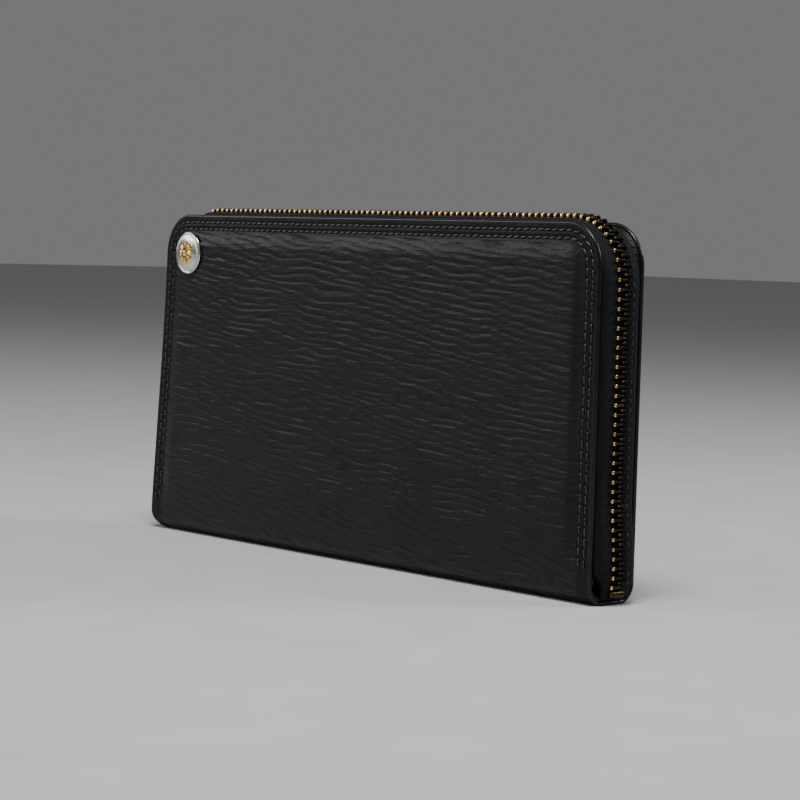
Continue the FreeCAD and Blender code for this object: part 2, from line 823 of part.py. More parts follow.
def puller_solid(name, outer, middle, length, half, eye_radius):
    """A flat puller on a round bar, with a window for the crown and an eye at its tip."""
    axis = f"({outer} + (dims.crown_rise - dims.crown_bar) / 2)"
    low = f"{axis} - dims.puller_plate / 2"
    high = f"{axis} + dims.puller_plate / 2"
    bar_radius = "dims.puller_plate / 2 - dims.bar_play"
    window_half = "(dims.crown_half + dims.puller_play)"
    blade = box(
        f"{name}_blade", (low, high), (f"-{half}", half), (middle, f"{middle} + {length}")
    )
    window = box(
        f"{name}_window", (f"{low} - {PAST}", f"{high} + {PAST}"),
        (f"-{window_half}", window_half),
        (f"{middle} - {PAST}", f"{middle} + dims.puller_window"),
    )
    eye = doc.addObject("Part::Cylinder", f"{name}_eye")
    eye.setExpression("Radius", eye_radius)
    eye.setExpression("Height", f"dims.puller_plate + 2 * {PAST}")
    eye.Placement = Placement(Vector(), Rotation(Vector(0, 1, 0), 90))
    eye.setExpression("Placement.Base.x", f"{low} - {PAST}")
    eye.setExpression("Placement.Base.z", f"{middle} + {length} - {half}")
    bar = doc.addObject("Part::Cylinder", f"{name}_bar")
    bar.setExpression("Radius", bar_radius)
    bar.setExpression("Height", f"2 * {half}")
    bar.Placement = Placement(Vector(), Rotation(Vector(1, 0, 0), -90))
    bar.setExpression("Placement.Base.x", axis)
    bar.setExpression("Placement.Base.y", f"-{half}")
    bar.setExpression("Placement.Base.z", middle)
    holes = fuse(f"{name}_holes", [window, eye])
    return fuse(name, [subtract(f"{name}_frame", blade, holes), bar])


def place(obj, point, outwards, forwards):
    """Puts zip hardware on its chain; point is three expressions."""
    obj.Placement = frame_placement(Vector(), outwards, forwards)
    for axis, expression in zip("xyz", point):
        obj.setExpression(f"Placement.Base.{axis}", expression)


def make_main_slider():
    """The main slider, parked at the lower end of the left side."""
    point = (f"-{CHAIN_X}", "0", "dims.slider_bottom")
    facing = (Vector(-1, 0, 0), Vector(0, 0, 1))
    solids, outer = slider_solids(
        "zip_slider", "dims.tooth_half_height", "dims.chain_half", "dims.slider_plate",
        "dims.slider_half", "dims.slider_slot", "dims.slider_length",
    )
    start = "(dims.slider_length - dims.crown_span) / 2"
    body = keep(fuse("zip_slider_body", solids), "zip_slider_body")
    crown = crown_solid("zip_slider_crown", outer, "dims.crown_span", start)
    keep(crown, "zip_slider_crown")
    puller = puller_solid(
        "zip_puller", outer, "(dims.slider_length / 2)", "dims.puller_length",
        "dims.puller_half", "dims.puller_eye_radius",
    )
    keep(puller, "zip_puller")
    for obj in (body, crown, puller):
        place(obj, point, *facing)


def make_coin_slider():
    """The coin purse's small slider, closed at the left end of its chain."""
    point = ("dims.coin_slider_start", "0", "dims.coin_chain_level")
    facing = (Vector(0, 0, 1), Vector(1, 0, 0))
    solids, outer = slider_solids(
        "coin_slider", "dims.coin_tooth_half_height", "dims.coin_chain_half",
        "dims.coin_slider_plate", "dims.coin_slider_half", "dims.coin_slider_slot",
        "dims.coin_slider_length",
    )
    start = "(dims.coin_slider_length - dims.crown_span) / 2"
    body = keep(fuse("coin_slider_body", solids), "coin_slider_body")
    crown = crown_solid("coin_slider_crown", outer, "dims.crown_span", start)
    keep(crown, "coin_slider_crown")
    puller = puller_solid(
        "coin_puller", outer, "(dims.coin_slider_length / 2)", "dims.coin_puller_length",
        "dims.coin_puller_half", "dims.coin_puller_eye_radius",
    )
    keep(puller, "coin_puller")
    for obj in (body, crown, puller):
        place(obj, point, *facing)


# ---------------------------------------------------------------- coin purse
def make_coin_purse():
    """Two leather panels joined at the top by a small zip."""
    half = "dims.purse_half_length"
    for outward in (FRONT, BACK):
        label = f"coin_purse_{side_name(outward)}"
        levels = sheet_levels(
            "dims.purse_half - dims.purse_leather", "dims.purse_half", outward
        )
        heights = ("dims.purse_bottom", "dims.purse_top")
        keep(box(label, (f"-{half}", half), levels, heights), label)
        make_coin_tape(outward)


def make_coin_tape(outward):
    """One tape of the coin zip: sewn inside the panel, it curls out under the teeth."""
    label = f"coin_zip_tape_{side_name(outward)}"
    body = new_body(label)
    sketch = new_sketch(body, "tape_section", "YZ_Plane")
    tape = "dims.coin_tape"
    inner_face = "(dims.purse_half - dims.purse_leather - dims.layer_gap)"
    level = "dims.coin_chain_level"
    shelf = "(dims.purse_top + dims.coin_tape_play)"
    edge = "dims.coin_slot_end + dims.coin_tape_play"
    corners = [
        (f"{inner_face} - {tape}", f"dims.purse_top - dims.coin_tape_leg"),
        (inner_face, f"dims.purse_top - dims.coin_tape_leg"),
        (inner_face, shelf),
        ("dims.coin_tape_half", shelf),
        ("dims.coin_tape_half", f"{level} + {tape} / 2"),
        (edge, f"{level} + {tape} / 2"),
        (edge, f"{level} - {tape} / 2"),
        (f"dims.coin_tape_half - {tape}", f"{level} - {tape} / 2"),
        (f"dims.coin_tape_half - {tape}", f"{shelf} + {tape}"),
        (f"{inner_face} - {tape}", f"{shelf} + {tape}"),
    ]
    polygon(sketch, [(f"{outward} * ({y})", z) for y, z in corners])
    feature = body.newObject("PartDesign::Pad", "tape_strip")
    feature.Profile = sketch
    length = "2 * (dims.coin_chain_half_length + dims.coin_tape_spare)"
    feature.setExpression("Length", length)
    feature.Midplane = True
    body.Tip = feature
    doc.recompute()


def make_coin_teeth():
    """The small teeth along the top of the coin purse, and their end stops."""
    pitch = size("coin_pitch")
    half_length = size("coin_chain_half_length")
    level = size("coin_chain_level")
    tooth = tooth_shape(
        size("coin_tooth"), size("coin_tooth_reach"), size("coin_chain_half"),
        size("coin_tooth_half_height"), size("coin_tooth_slot"), size("coin_slot_end"),
    )
    first = size("coin_slider_start") + size("coin_first_tooth")
    count = int((half_length - first) / pitch)
    out = Vector(0, 0, 1)
    along = Vector(1, 0, 0)

    def seats(shift):
        return [
            frame_placement(Vector(first + (n + shift) * pitch, 0, level), out, along)
            for n in range(count)
        ]

    # local Y of a seat points to the front of the wallet
    tooth_row("coin_zip_teeth_front", tooth, seats(0.5))
    tooth_row("coin_zip_teeth_back", mirrored(tooth), seats(0.0))
    end = "dims.coin_chain_half_length + dims.coin_stop_start"
    height = "dims.coin_tooth_half_height"
    stop = box(
        "coin_zip_stop", (end, f"{end} + dims.coin_stop"),
        ("-dims.coin_stop_half", "dims.coin_stop_half"),
        (f"dims.coin_chain_level - {height}", f"dims.coin_chain_level + {height}"),
    )
    keep(stop, "coin_zip_stop")


# ---------------------------------------------------------------- gussets
def make_gussets():
    """Folded side walls between each card bank and the coin purse."""
    leaf = "dims.gusset_leather"
    for side, end in (("left", LEFT), ("right", RIGHT)):
        for outward in (FRONT, BACK):
            label = f"gusset_{side}_{side_name(outward)}"
            outer = wedge(
                f"{label}_outer", "dims.gusset_half", "dims.gusset_depth",
                "dims.gusset_bottom",
            )
            inner = wedge(
                f"{label}_inner", f"dims.gusset_half - {leaf}",
                f"dims.gusset_depth - 6 * {leaf}", f"dims.gusset_bottom + 3 * {leaf}",
            )
            gusset = keep(subtract(label, outer, inner), label)
            gusset.Placement = Placement(Vector(), Rotation(Vector(0, 0, 1), 90 * end))
            gusset.setExpression("Placement.Base.x", f"{end} * dims.gusset_edge")
            gusset.setExpression("Placement.Base.y", f"{outward} * dims.gusset_middle")


def wedge(name, half, depth, bottom):
    """A pyramid lying on its side: an upright base that narrows to a point at the top."""
    solid = doc.addObject("Part::Wedge", name)
    for prop, expression in {
        "Xmin": f"-({half})",
        "Xmax": half,
        "Ymin": "0",
        "Ymax": depth,
        "Zmin": bottom,
        "Zmax": "dims.gusset_top",
        "X2min": "0",
        "X2max": "0",
        "Z2min": "dims.gusset_top",
        "Z2max": "dims.gusset_top",
    }.items():
        solid.setExpression(prop, expression)
    return solid


# ---------------------------------------------------------------- concho
def make_concho():
    """The round metal stud: a domed disc on a hollow post, an emblem and a screw."""
    face = f"({HALF} + dims.field_rise)"
    rim = f"({face} + dims.concho_rim)"
    crest = f"{rim} + dims.concho_dome * dims.crest"
    post_end = f"{FIELD_INSIDE} - dims.post_stand"
    bore = "dims.screw_radius + dims.screw_play"
    pocket = "dims.emblem_radius + dims.emblem_play"
    disc = new_body("concho_disc")
    turn_profile(disc, "disc_section", [
        (bore, post_end),
        ("dims.post_radius", post_end),
        ("dims.post_radius", face),
        ("dims.concho_radius", face),
        ("dims.concho_radius", f"{rim} - dims.concho_bevel"),
        ("dims.concho_radius - dims.concho_bevel", rim),
        ("dims.concho_radius * dims.dome_top", crest),
        (pocket, crest),
        (pocket, rim),
        (bore, rim),
    ])
    emblem = new_body("concho_emblem")
    seat = f"{rim} + dims.screw_play"
    peak = f"{rim} + dims.concho_dome + dims.emblem_height"
    turn_profile(emblem, "emblem_section", [
        ("0", seat),
        ("dims.emblem_radius", seat),
        ("dims.emblem_radius", f"{rim} + dims.concho_dome"),
        ("dims.emblem_radius * dims.dome_top", peak),
        ("0", peak),
    ])
    head = f"({post_end} - dims.screw_play)"
    tip = f"{rim} - dims.screw_play"
    screw = new_body("concho_screw")
    turn_profile(screw, "screw_section", [
        ("0", f"{head} - dims.screw_head"),
        ("dims.screw_head_radius", f"{head} - dims.screw_head"),
        ("dims.screw_head_radius", head),
        ("dims.screw_radius", head),
        ("dims.screw_radius", tip),
        ("0", tip),
    ])


def turn_profile(body, name, corners):
    """Turns an outline of (radius, distance to the front) about the concho's axis."""
    sketch = new_sketch(body, name, "XY_Plane", "dims.concho_z")
    polygon(sketch, [(f"dims.concho_x + {r}", f"-({d})") for r, d in corners])
    sketch.addGeometry(Part.LineSegment(Vector(-84, -8, 0), Vector(-84, -14, 0)), True)
    axis = len(corners)
    sketch.addConstraint(Sketcher.Constraint("Vertical", axis))
    dimension(sketch, "axis_x", "-dims.concho_x", "DistanceX", axis, 1, -1, 1, 84.0)
    dimension(sketch, "axis_start", HALF, "DistanceY", axis, 1, -1, 1, 8.0)
    dimension(sketch, "axis_length", "dims.concho_radius", "DistanceY", axis, 2, axis, 1, 6.0)
    doc.recompute()
    turned = body.newObject("PartDesign::Revolution", f"{name}_turned")
    turned.Profile = sketch
    turned.ReferenceAxis = (sketch, ["Axis0"])
    turned.Angle = 360
    body.Tip = turned
    doc.recompute()


# ---------------------------------------------------------------- build and write
def check_and_write():
    """Stops on any failed object, then writes each sub-part to its own STEP file."""
    doc.recompute()
    failed = [o.Name for o in doc.Objects if {"Invalid", "Error"} & set(o.State)]
    if failed:
        raise RuntimeError(f"failed objects: {failed}")
    os.makedirs("parts", exist_ok=True)
    for part in parts:
        shape = part.Shape
        if shape.isNull() or not shape.isValid() or not shape.Solids:
            raise RuntimeError(f"{part.Label} is not a valid solid")
        shape.exportStep(f"parts/{part.Label}.step")
        print(f"{part.Label}: {len(shape.Solids)} solids, {shape.Volume:.1f} mm3")


make_cover()
make_pads()
make_linings()
make_card_banks()
for side in (FRONT, BACK):
    make_zip_tape(side)
make_zip_teeth()
make_zip_stops()
make_main_slider()
make_coin_purse()
make_coin_teeth()
make_coin_slider()
make_gussets()
make_concho()
check_and_write()
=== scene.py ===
"""Looks of the zip around wallet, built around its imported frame.

Shapes are worked out in millimetres, in the frame's axes, and meshes are made in
metres. The front cover faces -Y and the wallet stands on its spine at Z = 0.
"""

import json
import math

import bmesh
import bpy
import numpy as np
from mathutils import Matrix, Vector


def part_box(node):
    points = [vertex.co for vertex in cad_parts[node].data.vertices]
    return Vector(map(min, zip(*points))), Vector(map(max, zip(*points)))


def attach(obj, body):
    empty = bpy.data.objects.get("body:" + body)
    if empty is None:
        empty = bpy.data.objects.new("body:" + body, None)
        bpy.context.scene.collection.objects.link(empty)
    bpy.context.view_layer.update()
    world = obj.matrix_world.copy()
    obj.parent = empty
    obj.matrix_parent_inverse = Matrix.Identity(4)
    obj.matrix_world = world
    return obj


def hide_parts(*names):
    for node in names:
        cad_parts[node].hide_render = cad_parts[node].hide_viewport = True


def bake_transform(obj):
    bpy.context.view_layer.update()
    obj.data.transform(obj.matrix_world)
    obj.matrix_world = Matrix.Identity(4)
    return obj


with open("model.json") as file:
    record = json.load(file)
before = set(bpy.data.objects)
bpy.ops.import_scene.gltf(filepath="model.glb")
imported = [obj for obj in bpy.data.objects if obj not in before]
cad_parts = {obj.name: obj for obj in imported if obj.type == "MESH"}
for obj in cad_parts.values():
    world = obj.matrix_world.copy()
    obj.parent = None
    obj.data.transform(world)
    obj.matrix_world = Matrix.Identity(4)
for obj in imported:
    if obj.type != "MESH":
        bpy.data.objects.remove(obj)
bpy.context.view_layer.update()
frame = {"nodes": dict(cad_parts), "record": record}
MM = 0.001
FRONT, BACK = -1, 1
SIDES = {"front": FRONT, "back": BACK}
SEED = 11
QUARTER = math.pi / 2
EIGHTH = math.pi / 4


def box_mm(node):
    """Lowest and highest corners of a CAD node, in millimetres."""
    low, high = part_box(node)
    return np.array(low) / MM, np.array(high) / MM


def layer(node):
    """Nearest and furthest distances of a CAD node from the middle plane."""
    low, high = box_mm(node)
    return sorted((abs(low[1]), abs(high[1])))


# ---------------------------------------------------------------- sizes from the frame
BACK_LOW, BACK_HIGH = box_mm("back_leather")
LENGTH_HALF = BACK_HIGH[0]
HEIGHT = BACK_HIGH[2]
HALF = box_mm("spine_leather")[1][1]
FIELD_RISE = BACK_HIGH[1] - HALF
BEND = BACK_LOW[2]
CORNER = 12.0
LEATHER = 1.2
FOOT_BEND = 3.0
BORDER = 4.6
RIPPLE_PITCH = 2.35
RIPPLE_LEAN = 0.15
RIPPLE_DEPTH = 0.33
STITCH_ROWS = (2.4, 4.5)
STITCH_PITCH = 2.8

STRAIGHT = HEIGHT - BEND
SLANT = math.tan(math.pi / 8) * (BEND - FOOT_BEND)
FLAT_HALF = (
    HALF - BEND * (1 - math.cos(EIGHTH)) - SLANT * math.sin(EIGHTH)
    - FOOT_BEND * math.cos(EIGHTH)
)
RUNS = (STRAIGHT, BEND * EIGHTH, SLANT, FOOT_BEND * EIGHTH, FLAT_HALF)
SECTION_HALF = sum(RUNS)
SECTION = 2 * SECTION_HALF


# ---------------------------------------------------------------- maths
rng = np.random.default_rng(SEED)
LATTICE = rng.random((64, 64)) * 2 - 1


def noise(u, v):
    """Smooth value noise from -1 to 1."""
    u, v = np.broadcast_arrays(np.asarray(u, float), np.asarray(v, float))
    iu, iv = np.floor(u).astype(int), np.floor(v).astype(int)
    fu, fv = smooth(u - iu), smooth(v - iv)
    a, b = iu % 64, iv % 64
    c, d = (iu + 1) % 64, (iv + 1) % 64
    low = LATTICE[a, b] * (1 - fu) + LATTICE[c, b] * fu
    high = LATTICE[a, d] * (1 - fu) + LATTICE[c, d] * fu
    return low * (1 - fv) + high * fv


def smooth(t):
    """Smooth step from 0 to 1."""
    t = np.clip(t, 0, 1)
    return t * t * (3 - 2 * t)


def bell(distance, width):
    """1 at distance 0, falling away to nothing over about twice the width."""
    return np.exp(-((distance / width) ** 2))


def section(s):
    """(y, z) and outward normal of the cover's outer face, s from the front's top edge.

    It runs down the front, round the spine and up the back.
    """
    s = np.asarray(s, float)
    mirrored = s > SECTION_HALF
    left = np.where(mirrored, SECTION - s, s)
    used = []
    for run in RUNS[:-1]:
        used.append(np.minimum(left, run))
        left = left - used[-1]
    down, first, slant, second = used
    a, c = first / BEND, second / FOOT_BEND
    y = -HALF + BEND * (1 - np.cos(a)) + slant * math.sin(EIGHTH) + left
    y = y + FOOT_BEND * (math.cos(EIGHTH) - np.cos(EIGHTH + c))
    z = HEIGHT - down - BEND * np.sin(a) - slant * math.cos(EIGHTH)
    z = z - FOOT_BEND * (np.sin(EIGHTH + c) - math.sin(EIGHTH))
    turn = a + c
    flip = np.where(mirrored, -1.0, 1.0)
    return y * flip, z, -np.cos(turn) * flip, -np.sin(turn)


def lean(x, z):
    """How far the worn left end splays: inwards at the top, outwards at the foot.

    The corner at the foot is rounded off.
    """
    worn, inwards, outwards, slope, foot, foot_round = 75, 2.2, 7.5, 130, 7.5, 5.0
    near = smooth((-x - 30) / worn)
    below = np.clip((foot - z) / foot, 0, 1)
    rounding = foot_round * (1 - np.sqrt(1 - below ** 2))
    return near * (inwards - outwards * smooth((100 - z) / slope) + rounding)


def on_cover(x, s, height):
    """Points at height above the cover's outer face."""
    y, z, across, up = section(s)
    x, y, z = np.broadcast_arrays(x + lean(x, z), y + across * height, z + up * height)
    return np.stack([x, y, z], -1)


def from_top(s):
    """Distance along the section from the nearer top edge."""
    return np.minimum(s, SECTION - s)


def edge_distance(x, s):
    """How far inside the cover's outline a point of the flat sheet lies."""
    dx, dt = LENGTH_HALF - np.abs(x), from_top(s)
    round_part = CORNER - np.hypot(CORNER - dx, CORNER - dt)
    return np.where((dx < CORNER) & (dt < CORNER), round_part, np.minimum(dx, dt))


def half_width(t, inset, radius):
    """Half the width, t below the top edge, of a sheet inset from the cover's edge."""
    rest = np.maximum(inset + radius - t, 0)
    return LENGTH_HALF - inset - radius + np.sqrt(np.maximum(radius ** 2 - rest ** 2, 0))


def both_covers(half):
    """Distances down the front cover, carried on up the back cover."""
    return np.concatenate([half, (SECTION - half[:-1])[::-1]])


def arch(a, rise, over, radius):
    """A path up the left side, over the top and down the right side.

    Returns x, the height above the start, and the outward direction (x, z).
    """
    after = a - rise - QUARTER * radius - over
    turn = np.clip((a - rise) / radius, 0, QUARTER) + np.clip(after / radius, 0, QUARTER)
    x = -over / 2 - radius * np.cos(turn) + np.clip(a - rise - QUARTER * radius, 0, over)
    up = np.minimum(a, rise) + radius * np.sin(turn)
    return x, up - np.maximum(after - QUARTER * radius, 0), -np.cos(turn), np.sin(turn)


def outline(inset, low, step):
    """Points round three sides of one cover, inset from its edge.

    Returns the distance along, x, the distance t below the top edge, and the outward
    direction (x, -t), at even steps, from t = low back to t = low.
    """
    rise, radius, over = low - CORNER, CORNER - inset, 2 * (LENGTH_HALF - CORNER)
    total = 2 * (rise + QUARTER * radius) + over
    a = np.linspace(0, total, max(2, round(total / step) + 1))
    x, up, out_x, out_t = arch(a, rise, over, radius)
    return a, x, low - up, out_x, out_t


# ---------------------------------------------------------------- shapes
# A shape is its points in millimetres and its faces.
def grid_faces(rows, columns, start=0, close_rows=False, close_columns=False):
    """Quads of a grid of points, row after row."""
    r = np.arange(rows if close_rows else rows - 1)
    c = np.arange(columns if close_columns else columns - 1)
    r, c = np.meshgrid(r, c, indexing="ij")
    r2, c2 = (r + 1) % rows, (c + 1) % columns
    corners = [r * columns + c, r * columns + c2, r2 * columns + c2, r2 * columns + c]
    return (np.stack(corners, -1).reshape(-1, 4) + start).tolist()


def tube_faces(rows, columns, closed=False):
    """Faces of a tube made of round rows, which closes on itself or has flat ends."""
    faces = grid_faces(rows, columns, close_rows=closed, close_columns=True)
    if not closed:
        faces += [list(range(columns)), list(range((rows - 1) * columns, rows * columns))]
    return faces


def tube(points, closed=False):
    """The shape of a tube from its grid of points."""
    return points.reshape(-1, 3), tube_faces(*points.shape[:2], closed)


def repeated(faces, count, step):
    """The faces of count copies of a shape with step points each."""
    return [[corner + n * step for corner in face] for n in range(count) for face in faces]


def grid_ring(rows, columns):
    """Indices of a grid's border, once round."""
    grid = np.arange(rows * columns).reshape(rows, columns)
    sides = grid[0], grid[1:, -1], grid[-1, -2::-1], grid[-2:0:-1, 0]
    return np.concatenate(sides).tolist()


def turns(count):
    """Angles once round."""
    return np.arange(count) * 2 * math.pi / count


def arc(u, v, radius, first, last, count):
    """Points round an arc about (u, v) from one angle to another."""
    angles = np.linspace(first, last, count)
    return [(u + radius * math.cos(a), v + radius * math.sin(a)) for a in angles]


def line_normals(line):
    """Unit normals of a line of (u, v) points."""
    step = np.gradient(line, axis=0)
    step /= np.linalg.norm(step, axis=1, keepdims=True)
    return np.stack([step[:, 1], -step[:, 0]], 1)


def ribbon(line, half):
    """A profile half thick on both sides of a line, and each point's place along it."""
    line = np.array(line)
    aside = half * line_normals(line)
    length = np.concatenate([[0], np.cumsum(np.linalg.norm(np.diff(line, axis=0), axis=1))])
    ring = np.concatenate([line + aside, (line - aside)[::-1]])
    return ring, np.concatenate([length, length[::-1]])


def combine(*shapes):
    """Several shapes as one."""
    points, faces, start = [], [], 0
    for shape_points, shape_faces in shapes:
        shape_points = np.asarray(shape_points, float).reshape(-1, 3)
        points.append(shape_points)
        faces += [[corner + start for corner in face] for face in shape_faces]
        start += len(shape_points)
    return np.concatenate(points), faces


def slab(outer, inner):
    """A thin closed sheet between two matching grids of points."""
    rows, columns = outer.shape[:2]
    count = rows * columns
    faces = grid_faces(rows, columns) + grid_faces(rows, columns, count)
    ring = grid_ring(rows, columns)
    for k, here in enumerate(ring):
        after = ring[(k + 1) % len(ring)]
        faces.append([here, after, after + count, here + count])
    return np.concatenate([outer.reshape(-1, 3), inner.reshape(-1, 3)]), faces


def tubes(centres, normals, radii, sides, twist=0.0, lobes=0.0):
    """Many short closed tubes.

    centres and normals are (tubes, rings, 3), radii is (rings, 2): half-widths across
    the normal and along it. A twist in turns with lobes gives a plied thread.
    """
    centres, normals = np.asarray(centres, float), np.asarray(normals, float)
    count, rings, _ = centres.shape
    along = np.gradient(centres, axis=1)
    along /= np.linalg.norm(along, axis=2, keepdims=True)
    side = np.cross(along, normals)
    side /= np.linalg.norm(side, axis=2, keepdims=True)
    up = np.cross(side, along)
    angle = turns(sides)
    turn = np.linspace(0, twist * 2 * math.pi, rings)[:, None]
    ply = 1 + lobes * np.cos(2 * (angle[None] - turn))
    wide = (radii[:, :1] * ply * np.cos(angle))[None, :, :, None]
    high = (radii[:, 1:] * ply * np.sin(angle))[None, :, :, None]
    points = centres[:, :, None] + side[:, :, None] * wide + up[:, :, None] * high
    return points.reshape(-1, 3), repeated(tube_faces(rings, sides), count, rings * sides)


def swept(centres, outs, sides, profiles, closed=False):
    """Closed profiles of (out, side) offsets carried along a line, with flat ends."""
    centres, outs, sides = (np.asarray(v, float)[:, None] for v in (centres, outs, sides))
    profiles = np.broadcast_to(profiles, (len(centres), *np.shape(profiles)[-2:]))
    return tube(centres + outs * profiles[..., 0:1] + sides * profiles[..., 1:2], closed)


def rounded(half_width, half_height, radius, steps=4):
    """A rectangle with round corners, as points about its middle."""
    points = []
    for quarter, (right, up) in enumerate(((1, 1), (-1, 1), (-1, -1), (1, -1))):
        middle = right * (half_width - radius), up * (half_height - radius)
        points += arc(*middle, radius, quarter * QUARTER, (quarter + 1) * QUARTER, steps + 1)
    return np.array(points)


def soft_box(low, high, radius):
    """A box with every edge rounded."""
    low, high = np.asarray(low, float), np.asarray(high, float)
    middle, half = (low + high) / 2, (high - low) / 2
    rings = []
    for end in (-1, 1):
        for a in np.linspace(0, QUARTER, 5)[::end]:
            shrink = radius * (1 - math.cos(a))
            level = end * (half[2] - radius + radius * math.sin(a))
            ring = rounded(half[0] - shrink, half[1] - shrink, max(radius - shrink, 0.02))
            rings.append(np.column_stack([ring, np.full(len(ring), level)]))
    return tube(np.array(rings) + middle)


def plate(loops, low, high, bevel, axes):
    """A flat plate with holes and rounded edges.

    loops are outlines of (u, v) points, the first the outside; axes are the frame
    directions of u, v and of the thickness, which runs from low to high.
    """
    curve = bpy.data.curves.new("plate", "CURVE")
    curve.dimensions = "2D"
    curve.fill_mode = "BOTH"
    curve.extrude = (high - low) / 2 - bevel
    curve.bevel_depth = bevel
    curve.bevel_resolution = 2
    curve.offset = -bevel
    for loop in loops:
        spline = curve.splines.new("POLY")
        spline.points.add(len(loop) - 1)
        spline.points.foreach_set("co", [c for u, v in loop for c in (u, v, 0, 1)])
        spline.use_cyclic_u = True
    holder = bpy.data.objects.new("plate", curve)
    mesh = bpy.data.meshes.new_from_object(holder)
    work = bmesh.new()
    work.from_mesh(mesh)
    bmesh.ops.remove_doubles(work, verts=work.verts, dist=1e-4)
    flat = np.array([v.co for v in work.verts])
    faces = [[v.index for v in face.verts] for face in work.faces]
    work.free()
    bpy.data.objects.remove(holder)
    bpy.data.curves.remove(curve)
    bpy.data.meshes.remove(mesh)
    u, v, up = (np.array(axis, float) for axis in axes)
    middle = (low + high) / 2
    points = flat[:, :1] * u + flat[:, 1:2] * v + (flat[:, 2:] + middle) * up
    return points, faces


def tall_outline(half, length, stations, steps=60):
    """A symmetric outline, smoothly joined.

    Its stations are shares of the length and, there, of the half-width.
    """
    levels, halves = np.array(stations).T * ((length,), (half,))
    share = (1 - np.cos(np.linspace(0, math.pi, steps))) / 2
    z = levels[0] + (levels[-1] - levels[0]) * share
    width = np.interp(z, levels, halves)
    kernel = np.array([0.25, 0.5, 0.25])
    for _ in range(4):
        width[1:-1] = np.convolve(width, kernel, "same")[1:-1]
    right = list(zip(width, z))
    return right + [(-w, level) for w, level in right[::-1]]


# ---------------------------------------------------------------- pieces
def add_attribute(mesh, name, values):
    layer = mesh.attributes.new(name, "FLOAT", "POINT")
    layer.data.foreach_set("value", np.asarray(values, np.float32).ravel())


def make_piece(name, shape, slot, body=None, bend=None, replaces=(), **attributes):
    """A smooth mesh object, its slot, what it follows and the CAD nodes it stands for.

    It rides on one body or, given a bend, is left fixed in the frame. The normals are made to face
    outwards.
    """
    points, faces = shape
    mesh = bpy.data.meshes.new(name)
    mesh.from_pydata((np.asarray(points, float).reshape(-1, 3) * MM).tolist(), [], faces)
    work = bmesh.new()
    work.from_mesh(mesh)
    bmesh.ops.recalc_face_normals(work, faces=work.faces)
    work.to_mesh(mesh)
    work.free()
    for key, values in attributes.items():
        add_attribute(mesh, key, values)
    mesh.materials.append(MATERIALS[slot])
    mesh.polygons.foreach_set("use_smooth", [True] * len(mesh.polygons))
    piece = bpy.data.objects.new(name, mesh)
    bpy.context.scene.collection.objects.link(piece)
    nodes = (replaces,) if isinstance(replaces, str) else replaces
    if nodes:
        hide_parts(*nodes)
    if bend:
        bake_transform(piece)
    else:
        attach(piece, body)
    return piece


def turn_out(faces):
    """Flips the faces of a closed part whose volume comes out negative."""
    if sum(face.area * face.center.dot(face.normal) for face in faces) < 0:
        for face in faces:
            face.flip()


def wear_on_edges(piece, most=1.0):
    """Marks as rubbed the points whose normals lean, which are on rounded edges."""
    normals = np.array([v.normal for v in piece.data.vertices])
    edges = smooth((0.985 - np.abs(normals).max(1)) / 0.12)
    add_attribute(piece.data, "wear", 0.15 + most * edges)


def make_brass(node, kind, shape, body, most=1.0):
    """A brass piece, with rubbed edges, that stands for one CAD node."""
    piece = make_piece(f"{node}_{kind}", shape, "antique_brass", body, replaces=node)
    wear_on_edges(piece, most)
    return piece


# ---------------------------------------------------------------- materials
MATERIALS = {}


